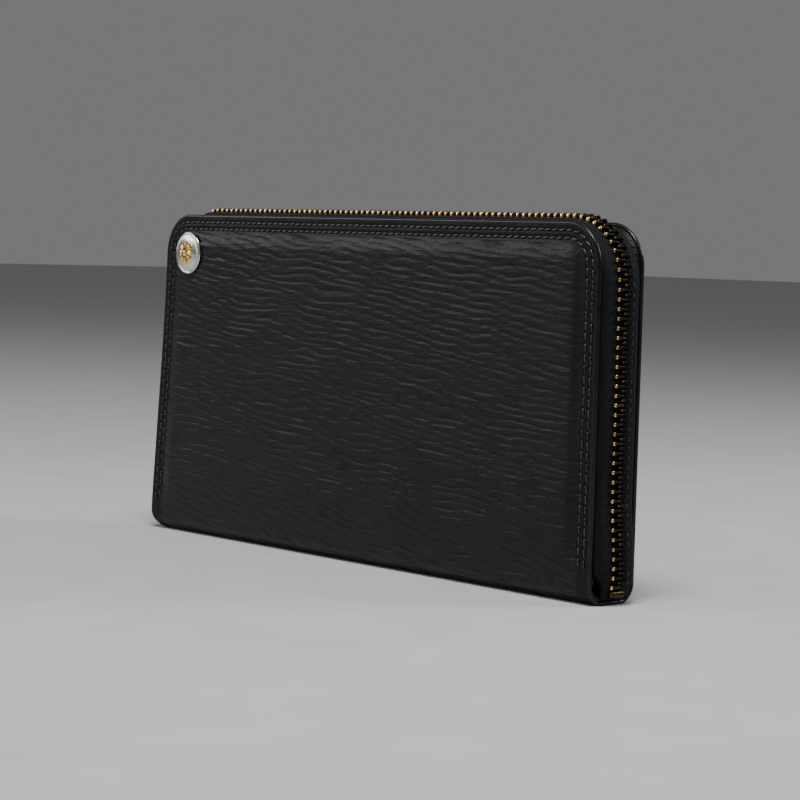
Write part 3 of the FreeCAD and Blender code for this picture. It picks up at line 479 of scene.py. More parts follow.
class Nodes:
    """Short names for building a material's node tree."""

    def __init__(self, name):
        self.material = MATERIALS[name] = bpy.data.materials.new(name)
        self.material.use_nodes = True
        self.tree = self.material.node_tree
        self.shader = self.tree.nodes["Principled BSDF"]
        self.where = self.position((1, 1, 1))

    def add(self, kind, inputs=None, **settings):
        node = self.tree.nodes.new(kind)
        for key, value in settings.items():
            setattr(node, key, value)
        for key, value in (inputs or {}).items():
            self.put(node, key, value)
        return node

    def put(self, node, key, value):
        if isinstance(value, bpy.types.NodeSocket):
            self.tree.links.new(value, node.inputs[key])
        else:
            node.inputs[key].default_value = value

    def position(self, scale):
        where = self.add("ShaderNodeTexCoord").outputs["Object"]
        mapping = self.add("ShaderNodeMapping", {"Vector": where})
        mapping.inputs["Scale"].default_value = scale
        return mapping.outputs["Vector"]

    def attribute(self, name):
        return self.add("ShaderNodeAttribute", attribute_name=name).outputs["Fac"]

    def noise(self, scale, detail, rough=0.5):
        """Noise; three scales stretch it along the object's axes."""
        vector, even = self.where, scale
        if isinstance(scale, tuple):
            vector, even = self.position(scale), 1.0
        inputs = {"Vector": vector, "Scale": even, "Detail": detail, "Roughness": rough}
        return self.add("ShaderNodeTexNoise", inputs).outputs["Fac"]

    def cells(self, scale, feature="SMOOTH_F1"):
        inputs = {"Vector": self.where, "Scale": scale}
        return self.add("ShaderNodeTexVoronoi", inputs, feature=feature).outputs["Distance"]

    def maths(self, operation, first, second=0.0, third=0.0):
        node = self.add("ShaderNodeMath", operation=operation)
        for index, value in enumerate((first, second, third)):
            self.put(node, index, value)
        return node.outputs[0]

    def ramp(self, factor, stops):
        node = self.add("ShaderNodeValToRGB", {"Fac": factor})
        ramp = node.color_ramp
        while len(ramp.elements) < len(stops):
            ramp.elements.new(0.5)
        for element, (place, colour) in zip(ramp.elements, stops):
            element.position = place
            element.color = (*colour, 1)
        return node.outputs["Color"]

    def spread(self, factor, low, high):
        """A factor from 0 to 1 mapped to low to high."""
        node = self.add("ShaderNodeMapRange", {"Value": factor, "To Min": low, "To Max": high})
        return node.outputs["Result"]

    def finish(self, colour, rough, *bumps, **values):
        """Sets the shader's sockets; underscores stand for spaces.

        Each bump is a height, a distance and a strength, laid over the one before.
        """
        for height, distance, strength in bumps:
            inputs = {"Height": height, "Distance": distance, "Strength": strength}
            if "Normal" in values:
                inputs["Normal"] = values["Normal"]
            values["Normal"] = self.add("ShaderNodeBump", inputs).outputs["Normal"]
        values.update(Base_Color=colour, Roughness=rough)
        for key, value in values.items():
            self.put(self.shader, key.replace("_", " "), value)


def grey(value):
    return value, value, value


def cover_leather_look():
    """Black vegetable-tanned leather: ripple grain, fine pores, crests lighter than the grooves,
    with painted shade in the grooves and over the border.
    """
    n = Nodes("cover_leather")
    crest = n.attribute("crest")
    cloud = n.noise(45, 3)
    pores = n.cells(2600, "F1")
    pebbles = n.cells(1500)
    stretched = n.noise((130, 130, 850), 4, 0.6)
    # Painted shade: the crest attribute darkens the grooves and the border; the cloud is the
    # leather's own uneven tone.
    shade = n.maths("MULTIPLY_ADD", crest, 0.55, n.maths("MULTIPLY", cloud, 0.5))
    colour = n.ramp(shade, [(0.25, (0.001, 0.001, 0.0009)), (0.85, (0.0085, 0.0087, 0.0065))])
    rough = n.maths("MULTIPLY_ADD", cloud, 0.2, n.maths("MULTIPLY_ADD", crest, -0.14, 0.42))
    bumps = (pebbles, 0.00012, 0.55), (stretched, 0.0003, 0.8), (pores, 0.00006, 0.45)
    n.finish(colour, rough, *bumps, Specular_IOR_Level=0.2)


def plain_leather_look(name, dark, light, scale, rough):
    """Thin smooth leather with a fine pebble and a little wear in tone."""
    n = Nodes(name)
    cloud = n.noise(70, 4)
    colour = n.ramp(cloud, [(0.3, dark), (0.75, light)])
    bumps = (n.cells(scale), 0.00009, 0.6), (n.noise(scale * 2.2, 2), 0.00003, 0.5)
    n.finish(colour, n.spread(cloud, rough - 0.08, rough + 0.1), *bumps)


def edge_paint_look():
    """Glossy painted edge with faint waves left by the burnisher."""
    n = Nodes("edge_paint")
    waves = n.noise(240, 2)
    colour = n.ramp(waves, [(0.3, grey(0.003)), (0.8, (0.007, 0.007, 0.009))])
    n.finish(
        colour, n.spread(waves, 0.22, 0.36), (waves, 0.00008, 0.5),
        Specular_IOR_Level=0.22, Coat_Weight=0.2, Coat_Roughness=0.16,
    )


def thread_look():
    """Waxed blue-black thread."""
    n = Nodes("thread")
    cloud = n.noise(900, 2)
    colour = n.ramp(cloud, [(0.35, (0.006, 0.007, 0.01)), (0.75, (0.034, 0.038, 0.05))])
    n.finish(
        colour, n.spread(cloud, 0.28, 0.45), (n.noise(5200, 2), 0.00003, 0.5),
        Coat_Weight=0.25, Coat_Roughness=0.25,
    )


def zip_tape_look():
    """Herringbone tape in blue-black; along and across are millimetres on the tape.

    Its slanted ribs turn back at each column.
    """
    n = Nodes("zip_tape")
    rib_pitch, column, end_pitch = 0.72, 1.25, 0.36
    along, across = n.attribute("along"), n.attribute("across")
    slanted = n.maths("ADD", along, n.maths("PINGPONG", across, column))
    ribs = n.maths("SINE", n.maths("MULTIPLY", slanted, 2 * math.pi / rib_pitch))
    ends = n.maths("SINE", n.maths("MULTIPLY", across, 2 * math.pi / end_pitch))
    height = n.maths("MULTIPLY_ADD", ends, 0.35, ribs)
    factor = n.spread(height, 0.0, 1.0)
    factor.node.inputs["From Min"].default_value = -1.2
    factor.node.inputs["From Max"].default_value = 1.2
    fluff = n.noise(1500, 3)
    mixed = n.maths("MULTIPLY_ADD", fluff, 0.35, n.maths("MULTIPLY", factor, 0.8))
    colour = n.ramp(mixed, [
        (0.15, (0.0006, 0.0007, 0.001)), (0.6, (0.003, 0.0036, 0.005)),
        (0.95, (0.013, 0.017, 0.021)),
    ])
    n.finish(
        colour, n.spread(fluff, 0.55, 0.8), (factor, 0.00016, 0.8), (fluff, 0.00003, 0.4),
        Specular_IOR_Level=0.12, Sheen_Weight=0.02, Sheen_Roughness=0.4,
    )


def twill_look():
    """Fine black twill."""
    n = Nodes("lining_fabric")
    wave = n.add(
        "ShaderNodeTexWave", {"Vector": n.where, "Scale": 650.0, "Distortion": 0.4},
        bands_direction="DIAGONAL",
    ).outputs["Fac"]
    cloud = n.noise(60, 3)
    colour = n.ramp(wave, [(0.1, grey(0.009)), (0.9, (0.03, 0.03, 0.034))])
    n.finish(colour, n.spread(cloud, 0.7, 0.88), (wave, 0.00008, 0.6), Sheen_Weight=0.3)


def brass_look():
    """Antique brass: dark lacquer in the recesses, bright where wear is 1: rubbed edges, and on the
    zip teeth's leg ends a painted highlight.
    """
    n = Nodes("antique_brass")
    wear = n.attribute("wear")
    cloud = n.noise(420, 4, 0.6)
    rubbed_and_glint = n.maths("MULTIPLY_ADD", cloud, 0.5, n.maths("SUBTRACT", wear, 0.25))
    colour = n.ramp(rubbed_and_glint, [
        (0.1, (0.012, 0.009, 0.006)), (0.45, (0.11, 0.075, 0.032)),
        (0.72, (0.42, 0.26, 0.09)), (1.0, (0.95, 0.66, 0.27)),
    ])
    fine = n.noise(2400, 2)
    n.finish(colour, n.spread(rubbed_and_glint, 0.46, 0.2), (fine, 0.00002, 0.5), Metallic=1.0)


def silver_look():
    """Polished silver with hair scratches and faint planishing marks."""
    n = Nodes("polished_silver")
    marks = n.cells(620)
    scratches = n.noise((300, 300, 5200), 3, 0.7)
    cloud = n.noise(260, 3)
    colour = n.ramp(cloud, [(0.25, (0.62, 0.61, 0.58)), (0.7, (0.9, 0.89, 0.86))])
    bumps = (marks, 0.00012, 0.35), (scratches, 0.00001, 0.6)
    n.finish(colour, n.spread(scratches, 0.1, 0.26), *bumps, Metallic=1.0)


def gold_look():
    """Polished gold with darker hollows."""
    n = Nodes("polished_gold")
    wear = n.attribute("wear")
    cloud = n.noise(500, 3)
    shade = n.maths("MULTIPLY_ADD", cloud, 0.3, n.maths("MULTIPLY", wear, 0.85))
    colour = n.ramp(shade, [
        (0.1, (0.16, 0.075, 0.015)), (0.5, (0.8, 0.48, 0.11)), (1.0, (1.0, 0.74, 0.3)),
    ])
    fine = n.noise(2600, 2)
    n.finish(colour, n.spread(cloud, 0.14, 0.28), (fine, 0.00001, 0.5), Metallic=1.0)


def steel_look():
    """Turned steel with fine lines."""
    n = Nodes("screw_steel")
    lines = n.noise((400, 400, 3000), 2)
    colour = n.ramp(lines, [(0.3, grey(0.3)), (0.8, grey(0.5))])
    n.finish(colour, n.spread(lines, 0.28, 0.45), Metallic=1.0)


def board_look():
    """Fibrous brown board."""
    n = Nodes("stiffener_board")
    fibres = n.noise(700, 5, 0.7)
    colour = n.ramp(fibres, [(0.3, (0.16, 0.13, 0.1)), (0.8, (0.3, 0.26, 0.2))])
    n.finish(colour, n.spread(fibres, 0.8, 0.95), (fibres, 0.0001, 0.5))


for look in (
    cover_leather_look, edge_paint_look, thread_look, zip_tape_look, twill_look,
    brass_look, silver_look, gold_look, steel_look, board_look,
):
    look()
plain_leather_look("card_leather", grey(0.011), (0.024, 0.022, 0.02), 1300, 0.42)
plain_leather_look("gusset_leather", grey(0.012), (0.026, 0.024, 0.022), 1000, 0.5)


# ---------------------------------------------------------------- cover leather
# Where a bent piece leaves the back cover and reaches the front cover, along Y.
SPINE_BEND = (-3.9, -6.9)
LINING_BEND = (-3.4, -6.15)
COVER_EDGE = 0.4
CORNER_ROWS = 40
SHEET_ROWS = 248
SPINE_ROWS = 26


def ripple(x, s):
    """The leather's water-ripple grain: 0 in a groove, 1 on a crest.

    Long, middling and short waves bend the grooves, and some are shallower.
    """
    bend = 0.8 * noise(x / 19 + 3, s / 8) + 0.4 * noise(x / 7.5, s / 2.6 + 7)
    bend = bend + 0.13 * noise(x / 2.4 + 5, s / 1.3)
    groove = np.abs(np.sin(math.pi * ((s - RIPPLE_LEAN * x) / RIPPLE_PITCH + bend)))
    depth = 0.62 + 0.38 * noise(x / 5.5 + 9, s / 1.7)
    return 1 - depth * (1 - groove) ** 2


def rise(x, s):
    """Height of the padded field above the border, with the sunk stitch lines.

    The field and the stitch lines fade away above the foot, where the spine begins.
    """
    field_foot, field_fade, field_slope = 5.5, 15, 5.5
    sewn_foot, sewn_fade = 8, 4
    groove, groove_width, ridge, rolled_edge = 0.28, 0.42, 0.1, 0.12
    inside, above = edge_distance(x, s), HEIGHT - from_top(s)
    crown = 0.8 + 0.2 * smooth(inside / 40)
    field = smooth((inside - BORDER) / field_slope) * smooth((above - field_foot) / field_fade)
    height = FIELD_RISE * field * crown
    sewn = smooth((above - sewn_foot) / sewn_fade)
    for row in STITCH_ROWS:
        height = height - groove * sewn * bell(inside - row, groove_width)
    height = height + ridge * sewn * bell(inside - sum(STITCH_ROWS) / 2, 0.5)
    return height - rolled_edge * bell(inside, 0.5) + 0.05 * noise(x / 23, s / 19)


def cover_rows():
    """Distances along the section for the rows of the leather's grid."""
    turn = np.linspace(0, QUARTER, CORNER_ROWS + 1)
    top = CORNER - (CORNER - COVER_EDGE) * np.cos(turn)
    sheet = np.linspace(CORNER, STRAIGHT, SHEET_ROWS + 1)[1:]
    spine = np.linspace(STRAIGHT, SECTION_HALF, SPINE_ROWS + 1)[1:]
    return both_covers(np.concatenate([top, sheet, spine]))


def cover_columns():
    """Places across the sheet from -1 to 1, closer near the ends."""
    near = 9
    border = np.linspace(0, near, 25)[:-1]
    middle = np.linspace(near, LENGTH_HALF, 53)
    half = 1 - np.concatenate([border, middle]) / LENGTH_HALF
    return np.concatenate([-half, half[:-1][::-1]])


def make_cover():
    """One leather sheet from the front's top edge, round the spine, up the back."""
    lines, columns = cover_rows(), cover_columns()
    width = half_width(from_top(lines), COVER_EDGE, CORNER - COVER_EDGE)
    s, u = np.meshgrid(lines, columns, indexing="ij")
    x = u * width[:, None]
    grain = ripple(x, s)
    fade = 0.2 + 0.8 * smooth((edge_distance(x, s) - BORDER + 0.2) / 1.6)
    points = on_cover(x, s, rise(x, s) + RIPPLE_DEPTH * (grain - 1) * fade)
    ring = grid_ring(*s.shape)
    under = on_cover(x.ravel()[ring], s.ravel()[ring], -LEATHER)
    faces = grid_faces(*s.shape)
    for k, here in enumerate(ring):
        after = (k + 1) % len(ring)
        faces.append([here, ring[after], s.size + after, s.size + k])
    faces += flesh_side(*s.shape, s.size)
    # Painted shade: this colour attribute is low in the ripple's grooves and falls to nothing over
    # the border, where fade is low; the rim gets a middle value.
    crest = np.concatenate([(grain * (1.25 * fade - 0.25)).ravel(), np.full(len(ring), 0.5)])
    make_piece(
        "cover_leather_sheet", (np.concatenate([points.reshape(-1, 3), under]), faces),
        "cover_leather", bend=SPINE_BEND, crest=crest,
        replaces=("front_leather", "spine_leather", "back_leather"),
    )


def flesh_side(rows, columns, base):
    """The leather's inner side: a face behind each panel, strips round the spine."""
    ring = grid_ring(rows, columns)
    rim = np.zeros(rows * columns, int)
    rim[ring] = base + np.arange(len(ring))
    rim = rim.reshape(rows, columns)
    plane = CORNER_ROWS + SHEET_ROWS + 1
    far = rows - plane
    faces = [[*rim[0], *rim[1:plane, -1], *rim[plane - 1:0:-1, 0]]]
    for r in range(plane - 1, far):
        faces.append([rim[r, 0], rim[r, -1], rim[r + 1, -1], rim[r + 1, 0]])
    faces.append([*rim[far:, -1], *rim[-1, -2::-1], *rim[-2:far - 1:-1, 0]])
    return [[int(corner) for corner in face] for face in faces]


def make_stiffeners():
    """The boards under the leather's raised fields."""
    for name, side in SIDES.items():
        node = f"{name}_stiffener"
        low, high = box_mm(node)
        near, far = layer(node)
        x = np.linspace(low[0], high[0], 40)
        s = np.linspace(HEIGHT - high[2], HEIGHT - low[2], 30)
        x, s = np.meshgrid(x, s if side == FRONT else SECTION - s)
        top = far - HALF - 0.08 + 0.03 * noise(x / 12, s / 12)
        shape = slab(on_cover(x, s, top), on_cover(x, s, top - (far - near - 0.12)))
        make_piece(f"{node}_sheet", shape, "stiffener_board", f"{name}_cover", replaces=node)


def make_edge_bead():
    """The painted edge all round the leather sheet."""
    half = 0.62
    _, x, t, out_x, out_t = outline(half, SECTION_HALF, 0.7)
    x = np.concatenate([x, x[::-1][1:-1]])[:, None]
    s = np.concatenate([t, (SECTION - t)[::-1][1:-1]])[:, None]
    out_x = np.concatenate([out_x, out_x[::-1][1:-1]])[:, None]
    out_s = np.concatenate([-out_t, out_t[::-1][1:-1]])[:, None]
    angle = turns(12)
    swell = 1 + 0.03 * noise(np.arange(len(x)) / 9, 0.5)[:, None]
    wide = half * np.cos(angle) * np.ones_like(swell)
    points = on_cover(x + out_x * wide, s + out_s * wide, 0.66 * np.sin(angle) * swell - 0.6)
    make_piece("painted_edge", tube(points, closed=True), "edge_paint", bend=SPINE_BEND)


def make_cover_stitches():
    """Two rows of waxed thread round three sides of each cover."""
    reach = np.linspace(-1, 1, 9)
    bow = 0.26 * (1 - reach ** 4)
    slant = 0.16 * reach
    radii = np.stack([0.29 * (1 - 0.55 * reach ** 6), 0.23 * (1 - 0.5 * reach ** 6)], 1)
    for name, side in SIDES.items():
        centres = []
        for number, row in enumerate(STITCH_ROWS):
            a, x, t, out_x, out_t = outline(row, HEIGHT - 8.5, 0.1)
            first = STITCH_PITCH * (0.6 + 0.5 * number)
            for middle in np.arange(first, a[-1] - 1.2, STITCH_PITCH):
                where = middle + reach * STITCH_PITCH * 0.4
                px = np.interp(where, a, x) + slant * np.interp(middle, a, out_x)
                pt = np.interp(where, a, t) - slant * np.interp(middle, a, out_t)
                s = pt if side == FRONT else SECTION - pt
                centres.append(on_cover(px, s, rise(px, s) + bow))
        normals = np.tile((0, side, 0), (len(centres), len(reach), 1))
        shape = tubes(centres, normals, radii, 8, 0.9, 0.14)
        make_piece(f"{name}_stitching", shape, "thread", f"{name}_cover")


def make_lining():
    """The thin lining over the inside of both covers and the spine."""
    inset = 0.8
    bend = CHAIN_BEND - (CHAIN_HALF - LENGTH_HALF) - inset
    turn = STRAIGHT - 6
    lines = both_covers(np.concatenate([
        inset + bend * (1 - np.cos(np.linspace(0, QUARTER, 14))),
        np.linspace(inset + bend, turn, 34)[1:], np.linspace(turn, SECTION_HALF, 28)[1:],
    ]))
    s, u = np.meshgrid(lines, np.linspace(-1, 1, 61), indexing="ij")
    x = u * half_width(from_top(lines), inset, bend)[:, None]
    depth = -1.27 - 0.4 * smooth((STRAIGHT - from_top(s) + 2) / 4)
    wave = 0.04 * noise(x / 9, s / 7)
    shape = slab(on_cover(x, s, depth), on_cover(x, s, depth - 0.33 + wave))
    piece = make_piece(
        "lining_sheet", shape, "lining_fabric", bend=LINING_BEND,
        replaces=("front_lining", "spine_lining", "back_lining"),
    )


# ---------------------------------------------------------------- main zip
CHAIN_BEND = 17.0
CHAIN_FIRST = 14.1
CHAIN_PITCH = 2.5
CHAIN_TEETH = 148
TAPE_END = box_mm("zip_tape_front")[0][2]
CHAIN_HALF = box_mm("zip_teeth_front")[1][0] - 1.7
CHAIN_TOP = HEIGHT + CHAIN_HALF - LENGTH_HALF
CHAIN_RISE = CHAIN_TOP - CHAIN_BEND - TAPE_END
CHAIN_OVER = 2 * (CHAIN_HALF - CHAIN_BEND)
CHAIN_QUARTER = QUARTER * CHAIN_BEND
CHAIN_LENGTH = 2 * (CHAIN_RISE + CHAIN_QUARTER) + CHAIN_OVER


def chain(a):
    """The chain's middle line at distances from the tape's left end.

    Returns point, outward direction and forward direction. Near its right end the
    chain stands a little prouder, then dips towards the bottom stop. Round its left
    corner it is drawn in between the covers.
    """
    x, up, out_x, out_z = arch(a, CHAIN_RISE, CHAIN_OVER, CHAIN_BEND)
    z = TAPE_END + up
    bow, dip, most_drawn_in = 1.3, 0.9, 1.9
    proud = bow * smooth((29 - z) / 20) - dip * smooth((8 - z) / 6)
    x = x + np.where(a > CHAIN_LENGTH - CHAIN_RISE, proud, 0)
    zero = np.zeros_like(a)
    out = np.stack([out_x, zero, out_z], -1)
    corner = CHAIN_RISE + CHAIN_QUARTER
    drawn_in = most_drawn_in * smooth((corner + 4 - a) / 6) * smooth((a - CHAIN_RISE + 1) / 8)
    point = np.stack([x, zero, z], -1) - out * drawn_in[..., None]
    return point, out, np.stack([out_z, zero, -out_x], -1)


def tape_profile(web, flange):
    """A tape's section as (out, distance from the middle) and the place on the tape.

    The tape dives inwards beside the leather's edge, then runs along it to flange.
    """
    line = [(0.12 * math.sin(math.pi * (w - 1.25) / 6), w) for w in np.linspace(1.25, web, 9)]
    reach = 6.72 - web
    for turn in np.linspace(0.15, 1, 8) * QUARTER:
        line.append((0.1 - 2.4 * (1 - math.cos(turn)), web + reach * math.sin(turn)))
    return ribbon(line + [(-flange, 6.75)], 0.17)


def make_tapes():
    """The woven tapes, which come out from under the leather to the teeth."""
    profile, across = tape_profile(4.5, 5.1)
    spare = TAPE_END - 2.2
    a = np.linspace(-spare, CHAIN_LENGTH + spare, 460)
    point, out, _ = chain(a)
    ends = np.minimum(a, CHAIN_LENGTH - a)[:, None]
    for name, side in SIDES.items():
        sideways = np.tile((0, side, 0), (len(a), 1))
        shaped = np.repeat(profile[None], len(a), 0)
        shaped[:, :, 0] *= 1 + 0.03 * noise(a / 6, side)[:, None]
        shaped[:, :, 1] = np.minimum(shaped[:, :, 1], 5.0 + 1.8 * smooth((ends - 0.5) / 4))
        tucked = np.maximum(shaped[:, :, 0], -1.1)
        shaped[:, :, 0] = np.where(ends < 3, tucked, shaped[:, :, 0])
        tape = swept(point, out, sideways, shaped)
        cord = rounded(0.5, 0.4, 0.38, 3) + np.array([0.0, 1.45])
        cord = swept(point, out, sideways, np.repeat(cord[None], len(a), 0))
        cord_points = len(cord[0])
        make_piece(
            f"zip_tape_{name}_weave", combine(tape, cord), "zip_tape", f"{name}_cover",
            replaces=f"zip_tape_{name}",
            along=np.concatenate([np.repeat(a, len(across)), np.repeat(a, cord_points // len(a))]),
            across=np.concatenate([np.tile(across, len(a)), np.full(cord_points, 0.3)]),
        )


def tooth_shape(reach, half, half_height, thickness):
    """One metal tooth: points (out, across, along), faces, and how rubbed it is, with a painted
    highlight on the leg ends.
    """
    sections = (
        # share of the way across, of the height, of the thickness, and wear, which at the leg ends
        # is a painted highlight
        (0.00, 0.50, 0.40, 0.5), (0.04, 0.72, 0.62, 0.45), (0.14, 0.84, 0.72, 0.15),
        (0.28, 0.80, 0.70, 0.0), (0.45, 0.84, 0.72, 0.0), (0.66, 0.90, 0.80, 0.0),
        (0.82, 0.95, 0.92, 0.05), (0.92, 0.92, 0.92, 0.6), (0.975, 0.76, 0.76, 1.0),
        (1.00, 0.45, 0.45, 0.9),
    )
    points, wear = [], []
    for share, tall, thick, rubbed_and_glint in sections:
        w, h = half_height * tall, thickness / 2 * thick
        ring = rounded(w, h, min(w, h) * 0.8, 3)
        points.append([(out, share * (half + reach) - reach, along) for out, along in ring])
        wear.append(rubbed_and_glint * (0.55 + 0.45 * smooth((np.abs(ring[:, 0]) / w - 0.5) / 0.4)))
    return *tube(np.array(points)), np.concatenate(wear)


def tooth_places(first, pitch, count, side):
    """Where a row's teeth stand; the front row stands half a pitch further on."""
    return first + (np.arange(count) + (0.5 if side == FRONT else 0.0)) * pitch


def teeth_row(node, body, seats, side, shape):
    """A row of metal teeth, each turned to its seat: point, outward and forward."""
    points, faces, wear = shape
    spot, outs, aheads = (np.asarray(v, float)[:, None] for v in seats)
    turned = (
        spot + outs * points[None, :, 0:1] + np.array((0.0, side, 0.0)) * points[None, :, 1:2]
        + aheads * points[None, :, 2:3]
    )
    every = repeated(faces, len(turned), len(points))
    tone = rng.random((len(turned), 1)) * 0.2 - 0.1
    make_piece(
        f"{node}_row", (turned, every), "antique_brass", body, replaces=node,
        wear=np.clip(wear[None] + tone, 0, 1),
    )


def make_teeth():
    """The main zip's two rows."""
    shape = tooth_shape(0.5, 2.9, 1.7, 1.16)
    for name, side in SIDES.items():
        seats = chain(tooth_places(CHAIN_FIRST - TAPE_END, CHAIN_PITCH, CHAIN_TEETH, side))
        teeth_row(f"zip_teeth_{name}", f"{name}_cover", seats, side, shape)


def make_stops():
    """Clips that end the two rows, and the box that holds the tapes' right ends."""
    for node, body in (
        ("zip_top_stop_front", "front_cover"), ("zip_top_stop_back", "back_cover"),
        ("zip_bottom_stop", "back_cover"), ("coin_zip_stop", "coin_purse"),
    ):
        make_brass(node, "clip", soft_box(*box_mm(node), 0.4), body, 0.3)


# ---------------------------------------------------------------- sliders and pullers
class Hardware:
    """The sizes of one zip's slider: its seat on the chain and the frame's directions.

    out points away from the tapes and ahead runs along the slider; all places are
    measured from the seat, which is the chain's middle at the slider's start.
    """

    def __init__(self, prefix, body, seat, out, ahead):
        self.prefix, self.body = prefix, body
        self.seat = np.array(seat, float)
        self.out, self.ahead = np.array(out, float), np.array(ahead, float)
        self.side = np.array((0.0, 1.0, 0.0))

    def levels(self, node):
        """A CAD node's (side, out, ahead) lows and highs, from the seat."""
        corners = np.array(box_mm(node)) - self.seat
        axes = np.stack([self.side, self.out, self.ahead])
        spread = corners @ axes.T
        return spread.min(0), spread.max(0)

    def plate(self, loops, low, high, bevel):
        points, faces = plate(loops, low, high, bevel, (self.side, self.ahead, self.out))
        return points + self.seat, faces


def slider_outline(half, length):
    """A slider plate from above: broad where the rows part, narrow where they mesh."""
    return tall_outline(half, length, (
        (0.0, 0.5), (0.05, 0.9), (0.14, 1.0), (0.4, 1.0), (0.8, 0.86), (0.94, 0.72), (1.0, 0.4),
    ))


def make_slider(zip_part, plate_thickness, bevel):
    """Two plates joined by a wedge, with lips that hold the teeth."""
    node = f"{zip_part.prefix}_body"
    half, outer, length = zip_part.levels(node)[1]
    face = outer - plate_thickness
    edge = slider_outline(half, length)
    wedge = [(u * 0.24, v * 0.2 + 0.1) for u, v in edge]
    shapes = [
        zip_part.plate([edge], face, outer, bevel), zip_part.plate([edge], -outer, -face, bevel),
        zip_part.plate([wedge], -face, face, 0.05),
    ]
    inner, start, end = half - 0.7, 0.2 * length, 0.82 * length
    for sign in (-1, 1):
        lip = [
            (sign * u, v) for u, v in (
                (inner, start), (half - 0.05, start), (half * 0.95, 0.55 * length),
                (half * 0.85, end), (inner * 0.92, end),
            )
        ]
        for low, high in ((0.5, face), (-face, -0.5)):
            shapes.append(zip_part.plate([lip[::sign]], low, high, 0.08))
    make_brass(node, "metal", combine(*shapes), zip_part.body)


def make_crown(zip_part):
    """The arch on the slider that holds the puller."""
    node = f"{zip_part.prefix}_crown"
    low, high = zip_part.levels(node)
    thick = (high[1] - low[1]) * 0.36
    foot, top = low[1] - 0.1, high[1] - thick / 2
    start, end = low[2] + thick * 0.6, high[2] - thick * 0.6
    bend = min(1.2, (top - foot) * 0.7)
    line = np.array([
        (foot, start), (top - bend, start),
        *arc(top - bend, start + bend, bend, -QUARTER, 0, 7),
        *arc(top - bend, end - bend, bend, 0, QUARTER, 7), (top - bend, end), (foot, end),
    ])
    axes = np.stack([zip_part.out, zip_part.ahead])
    sides = np.tile(zip_part.side, (len(line), 1))
    profile = rounded(thick / 2, high[0], thick * 0.42)
    shape = swept(zip_part.seat + line @ axes, line_normals(line) @ axes, sides, profile)
    make_brass(node, "arch", shape, zip_part.body)


def make_puller(zip_part, node, body, window, eye, eye_end):
    """A long flat tab with a window for the arch and an eye at its free end."""
    low, high = zip_part.levels(node)
    half, length, thick = high[0], high[2] - low[2], high[1] - low[1]
    width, tall = window
    edge = tall_outline(half, length, (
        (0.0, 0.42), (0.03, 0.62), (0.12, 0.74), (0.2, 0.72), (0.27, 0.6), (0.36, 0.66),
        (0.6, 0.84), (0.82, 1.0), (0.93, 0.86), (1.0, 0.35),
    ))
    opening = rounded(width, tall / 2, 0.5 * width)
    middle = 0.9 * thick + tall / 2
    loops = [
        [(u, v + low[2]) for u, v in edge],
        [(u, v + low[2] + middle) for u, v in opening][::-1],
        arc(0, high[2] - eye_end, eye, 0, 2 * math.pi, 33)[:0:-1],
    ]
    tab = zip_part.plate(loops, low[1], high[1], 0.22 * thick)
    angle = turns(40)[:, None]
    level = (low[1] + high[1]) / 2
    centre = zip_part.seat + (high[2] - eye_end) * zip_part.ahead + level * zip_part.out
    around = np.cos(angle) * zip_part.side + np.sin(angle) * zip_part.ahead
    outs = np.tile(zip_part.out, (len(angle), 1))
    profile = rounded(0.32, thick / 2 + 0.04, 0.25)
    lip = swept(centre + around * (eye + 0.24), around, outs, profile, closed=True)
    piece = make_brass(node, "tab", combine(tab, lip), body)
    turn_out(piece.data.polygons[:len(tab[1])])


def make_hardware():
    """Both zips' sliders, arches and pullers."""
    start = box_mm("zip_slider_body")[0][2]
    main = Hardware("zip_slider", "zip_slider", (-CHAIN_HALF, 0, start), (-1, 0, 0), (0, 0, 1))
    make_slider(main, 0.8, 0.22)
    make_crown(main)
    make_puller(main, "zip_puller", "zip_pull", (1.25, 3.6), 1.5, 2.75)
    low, high = box_mm("coin_slider_body")
    seat = low[0], 0, (low[2] + high[2]) / 2
    coin = Hardware("coin_slider", "coin_slider", seat, (0, 0, 1), (1, 0, 0))
    make_slider(coin, 0.5, 0.15)
    make_crown(coin)
    make_puller(coin, "coin_puller", "coin_pull", (1.2, 3.0), 1.0, 2.0)


# ---------------------------------------------------------------- concho
def lathe(profile, centre, steps, shape_of):
    """A profile of (radius, out) turned about the concho's axis; out is towards -Y.

    shape_of works on the radius and out of every point, given the angles.
    """
    profile = np.asarray(profile, float)
    angle = turns(steps)
    radius, out = shape_of(profile[:, :1] * np.ones(steps), profile[:, 1:], angle)
    x, z = centre[0] + radius * np.cos(angle), centre[2] + radius * np.sin(angle)
    return tube(np.stack([x, -out * np.ones(steps), z], -1))


def make_concho():
    """A domed silver disc with a notched rim."""
    low, high = box_mm("concho_disc")
    centre = (low + high) / 2
    radius = (high[0] - low[0]) / 2
    face = HALF + FIELD_RISE * 0.85
    crown = -low[1]
    profile = [(0.3, face - 0.4), (radius - 0.5, face - 0.4), (radius - 0.12, face - 0.2)]
    profile += arc(radius - 0.36, face + 0.4, 0.36, -0.9, 2.6, 12)
    for r in np.linspace(radius - 0.85, 0.3, 24):
        dome = 1 - (r / radius) ** 2
        profile.append((r, face + 0.55 + (crown - face - 0.5) * dome))

    def notched(radii, out, angle):
        notch = smooth((np.cos(angle * notches) - 0.2) / 0.6)
        return radii, out - 0.12 * bell(radii - radius + 1.15, 0.22) * notch

    notches = 44
    make_piece(
        "concho_silver_disc", lathe(profile, centre, 8 * notches, notched), "polished_silver",
        "front_cover", replaces="concho_disc",
    )
    make_rosette(centre, crown)


